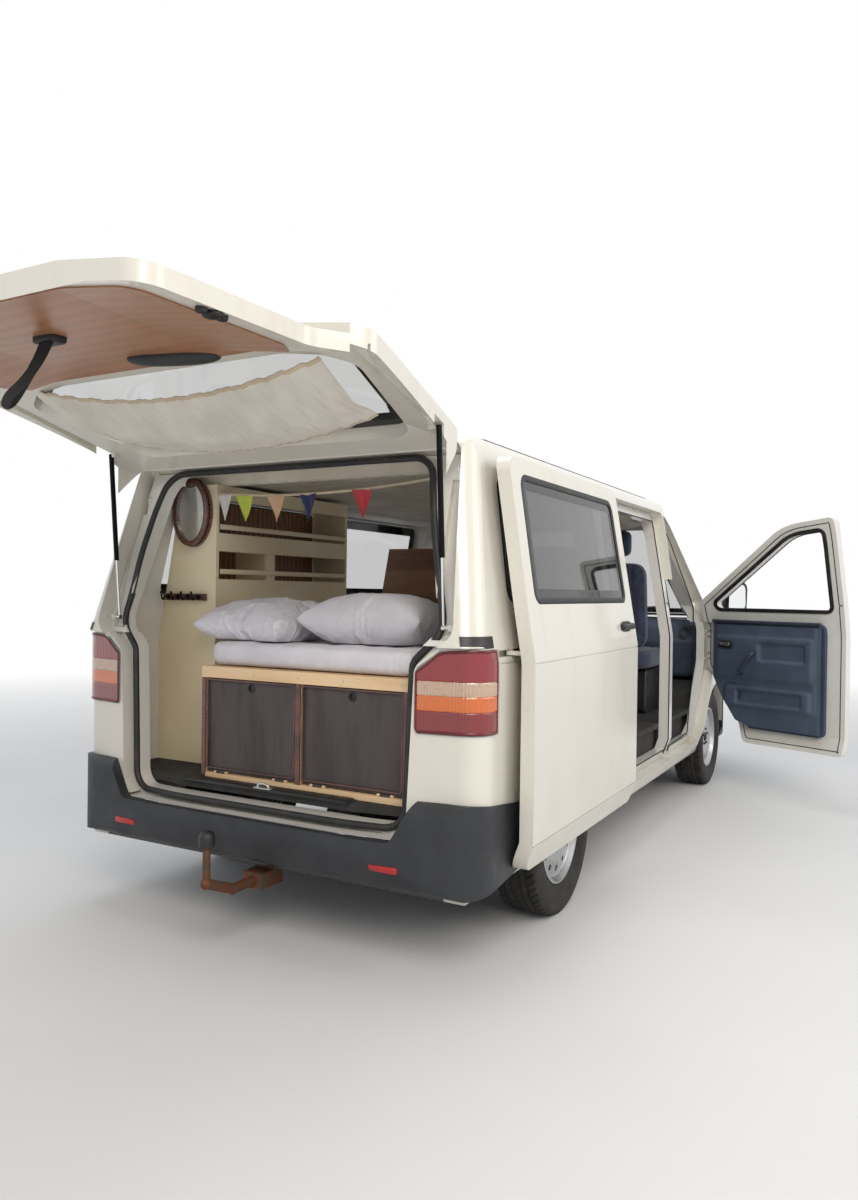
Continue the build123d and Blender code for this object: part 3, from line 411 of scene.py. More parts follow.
class Finish:
    """A procedural material in the making, with short ways to add what varies over the surface."""

    def __init__(self, name, colour, roughness=0.5, metallic=0.0, **sockets):
        self.material = bpy.data.materials.new(name)
        self.material.use_nodes = True
        self.tree = self.material.node_tree
        self.shader = self.tree.nodes["Principled BSDF"]
        self.colour = (*colour, 1.0)
        self.put("Base Color", self.colour)
        self.put("Roughness", roughness)
        self.put("Metallic", metallic)
        for socket, value in sockets.items():
            self.put(socket.replace("_", " "), value)

    def put(self, socket, value):
        """Sets a shader socket, or links it where value is a node's output."""
        if isinstance(value, bpy.types.NodeSocket):
            self.tree.links.new(value, self.shader.inputs[socket])
        else:
            self.shader.inputs[socket].default_value = value

    def node(self, kind, inputs=(), **settings):
        """Adds a node with settings and with inputs given as pairs of socket and value."""
        made = self.tree.nodes.new(kind)
        for key, value in settings.items():
            setattr(made, key, value)
        for socket, value in inputs:
            if isinstance(value, bpy.types.NodeSocket):
                self.tree.links.new(value, made.inputs[socket])
            else:
                made.inputs[socket].default_value = value
        return made

    def place(self, stretch=(1, 1, 1), turn=(0, 0, 0)):
        """Coordinates of the surface, stretched and turned."""
        raw = self.node("ShaderNodeTexCoord").outputs["Object"]
        return self.node(
            "ShaderNodeMapping", [("Vector", raw), ("Scale", stretch), ("Rotation", turn)]
        ).outputs["Vector"]

    def noise(self, scale, detail=3.0, stretch=(1, 1, 1), turn=(0, 0, 0), distortion=0.0):
        """Cloudy pattern from 0 to 1."""
        where = self.place(stretch, turn)
        values = [("Vector", where), ("Scale", scale), ("Detail", detail), ("Distortion", distortion)]
        return self.node("ShaderNodeTexNoise", values).outputs["Fac"]

    def wave(self, scale, stretch=(1, 1, 1), turn=(0, 0, 0), distortion=0.0, direction="X"):
        """Striped pattern from 0 to 1."""
        where = self.place(stretch, turn)
        values = [("Vector", where), ("Scale", scale), ("Distortion", distortion), ("Detail", 2.0)]
        made = self.node("ShaderNodeTexWave", values, wave_type="BANDS")
        made.bands_direction = direction
        return made.outputs["Fac"]

    def height(self):
        """Height above the ground."""
        raw = self.node("ShaderNodeTexCoord").outputs["Object"]
        return self.node("ShaderNodeSeparateXYZ", [("Vector", raw)]).outputs["Z"]

    def range(self, value, low, high, to_low=0.0, to_high=1.0):
        """Takes value from the range low to high to another range, and holds it there."""
        inputs = [
            ("Value", value), ("From Min", low), ("From Max", high), ("To Min", to_low), ("To Max", to_high)
        ]
        return self.node("ShaderNodeMapRange", inputs).outputs["Result"]

    def sum(self, kind, a, b):
        """One arithmetic step between two values."""
        return self.node("ShaderNodeMath", [(0, a), (1, b)], operation=kind).outputs[0]

    def mix(self, share, first, second):
        """Colour between two colours."""
        made = self.node("ShaderNodeMix", [(0, share)], data_type="RGBA")
        for socket, value in ((6, first), (7, second)):
            if isinstance(value, bpy.types.NodeSocket):
                self.tree.links.new(value, made.inputs[socket])
            else:
                made.inputs[socket].default_value = (*value[:3], 1.0)
        return made.outputs[2]

    def bump(self, height, strength=0.3, distance=0.001):
        """Relief from a pattern, on top of any relief given before."""
        values = [("Height", height), ("Strength", strength), ("Distance", distance)]
        if self.shader.inputs["Normal"].is_linked:
            values.append(("Normal", self.shader.inputs["Normal"].links[0].from_socket))
        self.put("Normal", self.node("ShaderNodeBump", values).outputs["Normal"])
        return self


def paint(name, colour, dirt, dust=0.55, tarred=0.0):
    """Glossy paint with dirt that thickens towards the sills, clouds of dust, and black below `tarred`."""
    made = Finish(name, colour, 0.3, Coat_Weight=0.6, Coat_Roughness=0.08)
    cloud = made.noise(3.0, 6.0, (1, 1, 0.7))
    low = made.range(made.height(), 0.85, 0.25)
    share = made.sum("MULTIPLY", made.range(cloud, 0.35, 0.75), made.sum("MULTIPLY", low, dust))
    streak = made.range(made.noise(14.0, 3.0, (1, 1, 0.12)), 0.55, 0.8, 0.0, 0.16)
    painted = made.mix(made.sum("MAXIMUM", share, streak), colour, dirt)
    if tarred:
        painted = made.mix(made.range(made.height(), tarred, tarred - 0.004), painted, (0.014, 0.014, 0.015))
    made.put("Base Color", painted)
    made.put("Roughness", made.range(cloud, 0.2, 0.8, 0.24, 0.42))
    return made.bump(made.noise(900.0, 2.0), 0.02, 0.0002).material


def plastic(name, colour, roughness=0.55, grain=420.0, relief=0.25):
    """Moulded plastic with a fine grain, worn paler in patches."""
    made = Finish(name, colour, roughness)
    pale = [min(1.0, c * 1.8 + 0.02) for c in colour]
    made.put("Base Color", made.mix(made.range(made.noise(6.0, 6.0), 0.45, 0.85, 0.0, 0.45), colour, pale))
    made.put("Roughness", made.range(made.noise(9.0, 4.0), 0.3, 0.7, roughness - 0.1, roughness + 0.12))
    return made.bump(made.noise(grain, 2.0), relief, 0.0004).material


def wood(
    name, dark, light, stretch=(1, 1, 1), turn=(0, 0, 0), roughness=0.5, scale=9.0, coat=0.1, streak=0.6
):
    """Timber or veneer: long drawn grain in two colours, finer pores across it."""
    made = Finish(name, light, roughness, Coat_Weight=coat, Coat_Roughness=0.2)
    grain = made.wave(scale, stretch, turn, distortion=5.0)
    fine = made.noise(90.0, 4.0, stretch, turn)
    share = made.sum("ADD", made.sum("MULTIPLY", grain, streak), made.sum("MULTIPLY", fine, 1 - streak))
    made.put("Base Color", made.mix(made.range(share, 0.25, 0.8), dark, light))
    made.put("Roughness", made.range(fine, 0.3, 0.7, roughness - 0.08, roughness + 0.1))
    return made.bump(fine, 0.12, 0.0006).material


def cloth(name, colour, shade, thread=900.0, fold=0.0, sheen=0.25):
    """Woven cloth: two crossed sets of threads in relief, with clouds of a second shade and soft creases."""
    made = Finish(name, colour, 0.85, Sheen_Weight=sheen, Sheen_Roughness=0.5)
    made.put("Base Color", made.mix(made.range(made.noise(7.0, 5.0), 0.35, 0.7), shade, colour))
    weave = made.sum("MULTIPLY", made.wave(thread, direction="X"), made.wave(thread, direction="Z"))
    made.bump(weave, 0.15, 0.0004)
    if fold:
        made.bump(made.noise(11.0, 5.0, distortion=1.6), fold, 0.012)
    return made.material


def seersucker(name, colour, shade):
    """Puckered cotton: crinkled stripes a few millimetres wide in relief, with bent noise across them."""
    made = Finish(name, colour, 0.9, Sheen_Weight=0.3, Sheen_Roughness=0.5)
    made.put("Base Color", made.mix(made.range(made.noise(9.0, 5.0), 0.35, 0.7), shade, colour))
    stripe = made.wave(85.0, direction="Y", distortion=1.5)
    pucker = made.noise(260.0, 3.0, (1, 0.35, 1), distortion=0.8)
    made.bump(made.sum("MULTIPLY", stripe, pucker), 0.7, 0.0035)
    return made.bump(made.noise(16.0, 5.0, distortion=1.2), 0.35, 0.008).material


def metal(name, colour, roughness, rust=0.0, rust_colour=(0.16, 0.06, 0.025)):
    """Bare or painted metal with clouds of rust and fine scratches."""
    made = Finish(name, colour, roughness, 1.0 if rust < 0.5 else 0.6)
    spots = made.range(made.noise(26.0, 8.0), 0.62 - 0.35 * rust, 0.75 - 0.25 * rust, 0.0, min(1.0, rust * 2))
    made.put("Base Color", made.mix(spots, colour, rust_colour))
    made.put(
        "Roughness", made.range(made.noise(40.0, 5.0), 0.3, 0.7, max(0.05, roughness - 0.1), roughness + 0.2)
    )
    return made.bump(made.noise(300.0, 4.0), 0.1, 0.0005).material


def glass(name, colour, opacity=0.35, roughness=0.02):
    """Thin tinted glass: see-through in part, with a full gloss."""
    made = Finish(name, colour, roughness, Alpha=opacity, Coat_Weight=1.0, Coat_Roughness=0.01)
    made.put("Roughness", made.range(made.noise(5.0, 5.0), 0.45, 0.8, roughness, roughness + 0.1))
    return made.material


def rubber(name, colour=(0.012, 0.012, 0.013), roughness=0.7):
    """Black rubber, dusty in patches."""
    made = Finish(name, colour, roughness)
    dust = made.range(made.noise(13.0, 6.0), 0.5, 0.85, 0.0, 0.5)
    made.put("Base Color", made.mix(dust, colour, (0.09, 0.08, 0.065)))
    return made.bump(made.noise(160.0, 3.0), 0.15, 0.0006).material


def lamp_bands():
    """Tail lamp lens: red, amber, clear and red again from the foot up, with darker cells in clouds."""
    made = Finish("tail_lamp_lens", (0.4, 0.01, 0.012), 0.1, Coat_Weight=1.0, Coat_Roughness=0.03)
    ramp = made.node("ShaderNodeValToRGB", [("Fac", made.range(made.height(), 0.868, 1.158))])
    ramp.color_ramp.interpolation = "CONSTANT"
    bands = (
        (0.0, (0.20, 0.004, 0.006)),
        (0.276, (0.62, 0.13, 0.012)),
        (0.455, (0.50, 0.34, 0.24)),
        (0.624, (0.24, 0.004, 0.006)),
    )
    ramp.color_ramp.elements.remove(ramp.color_ramp.elements[1])
    ramp.color_ramp.elements[0].color = (*bands[0][1], 1.0)
    for place, colour in bands[1:]:
        ramp.color_ramp.elements.new(place).color = (*colour, 1.0)
    cells = made.range(made.noise(60.0, 2.0), 0.55, 0.8, 0.0, 0.25)
    made.put("Base Color", made.mix(cells, ramp.outputs["Color"], (0.10, 0.02, 0.02)))
    made.put("Roughness", made.range(made.noise(20.0, 3.0), 0.4, 0.8, 0.08, 0.2))
    return made.bump(made.wave(28.0, direction="Y"), 0.5, 0.002).material


finishes = {}


def make_finishes():
    """Makes every material once, named for where it is used."""
    colours = bpy.context.scene.camper_colours
    bedding = tuple(colours.bedding)
    bedding_shade = tuple(0.87 * c for c in bedding)
    f = finishes
    f["cream_paint"] = paint("cream_paint", tuple(colours.body), (0.40, 0.34, 0.26))
    f["jamb_paint"] = paint("jamb_paint", (0.70, 0.68, 0.63), (0.42, 0.38, 0.32), 0.3)
    f["rear_paint"] = paint("rear_paint", (0.70, 0.675, 0.615), (0.42, 0.38, 0.32), 0.3, 0.335)
    f["dark_plastic"] = plastic("dark_plastic", (0.020, 0.022, 0.026))
    f["black_plastic"] = plastic("black_plastic", (0.010, 0.010, 0.011), 0.45)
    f["cab_blue"] = plastic("cab_blue", (0.045, 0.065, 0.10), 0.6)
    f["cab_blue_dark"] = plastic("cab_blue_dark", (0.018, 0.026, 0.045), 0.5)
    f["ceiling"] = plastic("ceiling_panel", (0.62, 0.56, 0.46), 0.6, 60.0, 0.1)
    f["window_glass"] = glass("window_glass", (0.025, 0.035, 0.03), 0.26)
    f["tinted_glass"] = glass("tinted_glass", (0.008, 0.012, 0.012), 0.72)
    f["lamp_glass"] = glass("clear_lamp_glass", (0.55, 0.58, 0.6), 0.35)
    f["underbody"] = plastic("underbody", (0.02, 0.019, 0.018), 0.8, 90.0, 0.6)
    f["cast_iron"] = metal("cast_iron", (0.09, 0.085, 0.08), 0.6, 0.35)
    f["rusty_steel"] = metal("rusty_steel", (0.11, 0.08, 0.06), 0.7, 0.75)
    f["steel"] = metal("bare_steel", (0.5, 0.5, 0.5), 0.35, 0.1)
    f["rod_chrome"] = metal("rod_chrome", (0.75, 0.75, 0.76), 0.12)
    f["black_metal"] = metal("black_metal", (0.012, 0.012, 0.013), 0.4)
    f["wheel_silver"] = metal("wheel_silver", (0.46, 0.46, 0.47), 0.38, 0.12, (0.13, 0.09, 0.06))
    f["rubber"] = rubber("rubber_seal", (0.008, 0.008, 0.009), 0.5)
    f["tyre_rubber"] = rubber("tyre_rubber", (0.018, 0.017, 0.016), 0.85)
    f["lining_wood"] = wood(
        "lining_wood", (0.28, 0.115, 0.05), (0.45, 0.21, 0.105), (1, 0.10, 1), scale=5.0, coat=0.2,
        roughness=0.4, streak=0.14,
    )
    f["pine"] = wood("pine", (0.62, 0.40, 0.20), (0.78, 0.56, 0.33), (1, 0.1, 1))
    f["flap_brown"] = wood(
        "flap_brown", tuple(0.62 * c for c in colours.flaps), tuple(colours.flaps), (1, 1, 0.2), scale=14.0,
        roughness=0.6,
    )
    f["cream_board"] = wood(
        "cream_board", (0.74, 0.63, 0.42), (0.80, 0.70, 0.49), (0.15, 1, 1), scale=3.0, roughness=0.55
    )
    f["brown_board"] = wood("brown_board", (0.20, 0.085, 0.035), (0.33, 0.16, 0.07), (1, 0.1, 1))
    f["dark_wood"] = wood(
        "dark_wood", (0.055, 0.016, 0.010), (0.12, 0.038, 0.022), (1, 0.2, 1), coat=0.6, roughness=0.3
    )
    f["sheet_cotton"] = cloth("sheet_cotton", bedding, bedding_shade, 700.0)
    f["pillow_cotton"] = cloth("pillow_cotton", bedding, bedding_shade, 700.0, 0.5)
    f["curtain_linen"] = cloth("curtain_linen", (0.78, 0.73, 0.64), (0.66, 0.61, 0.52), 500.0)
    f["lamp_lens"] = lamp_bands()
    f["lamp_rim"] = plastic("lamp_rim", (0.11, 0.006, 0.008), 0.25, 60.0, 0.05)
    f["red_plastic"] = plastic("red_reflector", (0.42, 0.02, 0.02), 0.2, 60.0, 0.05)
    f["black_glass"] = plastic("black_glass_border", (0.006, 0.006, 0.007), 0.12, 30.0, 0.02)
    f["head_bowl"] = metal("headlamp_bowl", (0.72, 0.72, 0.74), 0.12)
    f["tape_tan"] = cloth("tape_tan", (0.62, 0.52, 0.37), (0.52, 0.42, 0.28), 900.0)
    f["webbing"] = cloth("webbing", (0.012, 0.012, 0.013), (0.025, 0.024, 0.024), 1400.0)
    f["plate_white"] = plastic("plate_white", (0.70, 0.70, 0.68), 0.3, 60.0, 0.05)
    f["mirror_glass"] = metal("mirror_glass", (0.86, 0.88, 0.88), 0.03)
    f["seersucker"] = seersucker("seersucker", bedding, bedding_shade)
    flags = {
        "red": ((0.60, 0.06, 0.07), (0.48, 0.04, 0.05)),
        "green": ((0.55, 0.62, 0.08), (0.46, 0.53, 0.06)),
        "peach": ((0.70, 0.45, 0.28), (0.6, 0.36, 0.21)),
        "navy": ((0.02, 0.03, 0.11), (0.015, 0.02, 0.07)),
        "white": ((0.72, 0.70, 0.66), (0.62, 0.60, 0.56)),
    }
    for word, (colour, shade) in flags.items():
        f["flag_" + word] = cloth("flag_" + word, colour, shade, 900.0)
    f["seat_cloth"] = cloth("seat_cloth", (0.035, 0.05, 0.10), (0.018, 0.022, 0.04), 450.0)


cad_finishes = {
    "cream_paint": (
        "roof_panel body_side_left body_side_right front_wings bonnet front_door_left sliding_door tailgate"
    ),
    "jamb_paint": "pillars_left pillars_right quarter_frames front_structure front_door_right",
    "rear_paint": "rear_frame",
    "dark_plastic": "radiator_grille front_bumper rear_bumper front_door_left_mirror front_door_right_mirror",
    "cab_blue": "front_door_left_trim front_door_right_trim dashboard",
    "black_plastic": "steering_wheel fuel_tank",
    "ceiling": "ceiling",
    "window_glass": "fixed_glass front_door_left_glass tailgate_glass",
    "tinted_glass": "sliding_door_glass",
    "lamp_glass": "headlamps tail_lamps",
    "underbody": "floor_pan",
    "cast_iron": "engine_block rear_axle front_axle knuckle_left knuckle_right",
    "steel": "exhaust",
    "rusty_steel": "tow_bar",
    "black_metal": "strut_tubes",
    "rod_chrome": "strut_rods",
    "lining_wood": "tailgate_lining",
    "pine": "bed_box",
    "flap_brown": "bed_flap_left bed_flap_right",
    "cream_board": "shelf_unit",
    "brown_board": "partition_board",
    "dark_wood": "mirror_and_hook_rail",
    "seat_cloth": "front_seats",
    "sheet_cotton": "mattress",
    "pillow_cotton": "pillows",
    "curtain_linen": "tailgate_curtain",
    "wheel_silver": "rim_rear_left rim_rear_right rim_front_left rim_front_right",
    "tyre_rubber": "tyre_rear_left tyre_rear_right tyre_front_left tyre_front_right",
}


class CAMPER_OT_finishes(bpy.types.Operator):
    """Give every CAD node its procedural finish"""

    bl_idname = "camper.finishes"
    bl_label = "Finishes"

    def execute(self, context):
        make_finishes()
        for finish, names in cad_finishes.items():
            for name in names.split():
                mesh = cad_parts[name].data
                mesh.materials.clear()
                mesh.materials.append(finishes[finish])
        return {"FINISHED"}


class CAMPER_OT_seals(bpy.types.Operator):
    """Lay the rubber seals round the tailgate opening, the windows and the door openings"""

    bl_idname = "camper.seals"
    bl_label = "Seals and window rubbers"

    def execute(self, context):
        bulb = context.scene.camper_sizes.seal_width / 2
        path, up = laid_outline(
            opening_rows, 0.012, 260, 0, -1.3, "rear_frame quarter_frames roof_panel", bulb * 0.6
        )
        # the seal bridges the steps between the panels: a middle value over nine points, then their mean
        around = (np.arange(-4, 5)[:, None] + np.arange(len(path))) % len(path)
        path[:, 0] = np.median(path[around, 0], axis=0)
        path[:, 0] = path[around, 0].mean(0)
        seal = Shape().carry(path, ring(bulb, 14, 0.85), (-1, 0, 0), True)
        seal.object("opening_seal", "rubber", "van_body")

        section = (
            (-0.011, 0.0004), (-0.011, 0.004), (-0.007, 0.0065), (0.007, 0.0065), (0.011, 0.004),
            (0.011, 0.0004),
        )
        rubbers = (
            ("sliding_window", slid(sliding_window_rows), "sliding_door_glass", -1),
            ("quarter_window_left", quarter_window_rows, "fixed_glass", 1),
            ("quarter_window_right", quarter_window_rows, "fixed_glass", -1),
            ("middle_window", middle_window_rows, "fixed_glass", 1),
        )
        for name, rows, node, side in rubbers:
            word = name.replace("window", "window_rubber")
            path, up = laid_outline(rows, -0.012, 180, 1, BESIDE * side, node)
            Shape().carry(path, section, up, True).object(word, "rubber", "van_body")
            path, up = laid_outline(rows, -0.034, 180, 1, BESIDE * side, node)
            word = name.replace("window", "window_border")
            border = Shape().carry(path, border_profile(0.022, 0.0008), up, True)
            border.object(word, "black_glass", "van_body")
        path, up = laid_outline(windscreen_rows, -0.014, 240, 0, AHEAD, "fixed_glass")
        Shape().carry(path, section, up, True).object("windscreen_rubber", "rubber", "van_body")
        path, up = laid_outline(windscreen_rows, -0.045, 240, 0, AHEAD, "fixed_glass")
        screen = Shape().carry(path, border_profile(0.03, 0.0008), up, True)
        screen.object("windscreen_border", "black_glass", "van_body")

        # the gate stands open, so its window's heights run along x
        raised = tuple((GATE_HINGE[0] + z - GATE_HINGE[1], y, r) for y, z, r in tailgate_window_rows)
        for start, way, side in ((ABOVE, (0, 0, -1), "outer"), (1.0, (0, 0, 1), "inner")):
            flat = evenly(grown(outline(raised, 8), -0.03), 200)
            path, up = lay("tailgate_glass", np.insert(flat, 2, start, axis=1), way)
            border = Shape().carry(path, border_profile(0.03, 0.0009), up, True)
            border.object("tailgate_glass_border_" + side, "black_glass", "tailgate_body")
        flat = evenly(grown(outline(raised, 8), -0.01), 200)
        path, up = lay("tailgate_glass", np.insert(flat, 2, ABOVE, axis=1), (0, 0, -1))
        Shape().carry(path, section, up, True).object("tailgate_window_rubber", "rubber", "tailgate_body")

        openings = (
            ("slide_opening_seal", sliding_door_rows, 0.046, "pillars_right quarter_frames"),
            ("right_door_seal", front_door_rows, 0.054, "pillars_right"),
        )
        for name, rows, inward, nodes in openings:
            path, up = laid_outline(rows, -inward, 240, 1, -BESIDE, nodes, 0.004)
            Shape().carry(path, ring(0.0035, 10), up, True).object(name, "rubber", "van_body")
        return {"FINISHED"}


class CAMPER_OT_lamps(bpy.types.Operator):
    """Build the ribbed tail lamps with their rims, the headlamp bowls and the bumper reflectors"""

    bl_idname = "camper.lamps"
    bl_label = "Lamps and reflectors"

    def execute(self, context):
        for side, word in SIDES:
            self.tail_lamp(side, word)
            self.head_lamp(side, word)
            self.reflector(side, word)
        return {"FINISHED"}

    def tail_lamp(self, side, word):
        """Lens laid on the CAD lamp by rays from a point inside the corner, one fan of rays at each height.

        The lens stands proud by a base, plus upright ribs in the clear and amber bands and level ribs in the
        red ones, and drops back in the grooves between the bands.
        """
        rows, columns = 130, 120
        turn = np.radians(np.linspace(95.5, 174, columns))
        share = np.linspace(0, 1, rows)
        y = np.minimum(0.958, 0.70 + 0.154 * np.tan(np.pi - turn) * (turn > np.pi / 2) + 9 * (turn < 1.9))
        top = np.interp(y, (0.716, 0.76, 0.80, 0.83, 0.95), (1.078, 1.108, 1.138, 1.147, 1.152))
        z = 0.877 + share[:, None] * (top[None, :] - 0.877)
        points, normal = self.fan(side, turn, z, "tail_lamps")
        proud = np.full_like(z, 0.0035)
        upright = (z > 0.948) & (z < 1.049)
        proud += np.where(
            upright, 0.0008 * np.abs(np.sin(turn * 55))[None, :], 0.0005 * np.abs(np.sin(z * 420))
        )
        for groove in (0.948, 1.0, 1.049):
            proud -= 0.0024 * np.exp(-(((z - groove) / 0.0022) ** 2))
        along_rows = np.minimum(share, 1 - share)[:, None] * 60
        along_columns = np.minimum(np.arange(columns), np.arange(columns)[::-1])[None, :] / 2.0
        proud *= np.clip(np.minimum(along_rows, along_columns), 0.15, 1)
        lens = Shape().shell(points + normal * proud[..., None], points + normal * 0.0004)
        lens.object("tail_lamp_lens_" + word, "lamp_lens", "van_body")
        border = grid_edge(rows, columns)
        rim = (points + normal * 0.002).reshape(-1, 3)[border]
        keep = evenly(np.concatenate([rim, normal.reshape(-1, 3)[border]], 1), 240)
        band = Shape().carry(keep[:, :3], ring(0.0055, 10, 0.7), keep[:, 3:], True)
        band.object("tail_lamp_rim_" + word, "lamp_rim", "van_body")
        turn = np.radians(np.linspace(96, 130, 60))
        z = np.broadcast_to(np.linspace(1.163, 1.203, 6)[:, None], (6, 60))
        points, normal = self.fan(side, turn, z, "body_side_left body_side_right rear_frame")
        face, back = points + normal * 0.003, points + normal * 0.0003
        section = np.concatenate([face, back[::-1]]).transpose(1, 0, 2)
        Shape().grid(section, False, True, True).object("lamp_top_panel_" + word, "black_plastic", "van_body")

    def fan(self, side, turn, z, names):
        """Where level rays towards an upright line inside the corner meet CAD nodes, by angle and height."""
        ways = np.stack([np.cos(turn), side * np.sin(turn), np.zeros_like(turn)], -1)
        ways = np.broadcast_to(ways[None], z.shape + (3,))
        starts = np.stack([np.full_like(z, -0.79), np.full_like(z, side * 0.70), z], -1) + ways * 2.0
        return lay(names, starts, -ways)

    def head_lamp(self, side, word):
        """Two round bowls, each in a chrome ring, seen through the headlamp's glass, laid on its face."""
        for k, (y, z, radius) in enumerate(((0.62, 0.775, 0.068), (0.79, 0.80, 0.062))):
            circle = ring(radius, 48)
            starts = np.concatenate([np.full((48, 1), AHEAD), circle + (side * y, z)], 1)
            path, up = lay("headlamps", starts, (-1, 0, 0))
            Shape().carry(path, ring(0.004, 8), up, True).object(
                f"headlamp_ring_{k}_{word}", "rod_chrome", "van_body"
            )
            share = np.linspace(0.02, 0.94, 12)[:, None, None]
            bowl = np.concatenate([np.full((12, 48, 1), AHEAD), share * circle[None] + (side * y, z)], -1)
            points, normal = lay("headlamps", bowl, (-1, 0, 0))
            dome = points + normal * (0.0012 + 0.004 * (1 - share**2))
            Shape().grid(dome, False, True, True).object(f"headlamp_bowl_{k}_{word}", "head_bowl", "van_body")

    def reflector(self, side, word):
        """Long red reflector let into the rear bumper's lower edge."""
        flat = panel(-0.055, 0.055, -0.011, 0.011, 0.006, 3)
        starts = np.concatenate([np.full((len(flat), 1), -1.5), flat + (side * 0.62, 0.402)], 1)
        points, normal = lay("rear_bumper", starts, (1, 0, 0))
        centre = points.mean(0)
        domed = centre + (points - centre) * 0.93 + normal * 0.0045
        rings = [points + normal * 0.0004, points + normal * 0.003, domed]
        Shape().grid(np.stack(rings), False, True, True).object(
            "bumper_reflector_" + word, "red_plastic", "van_body"
        )


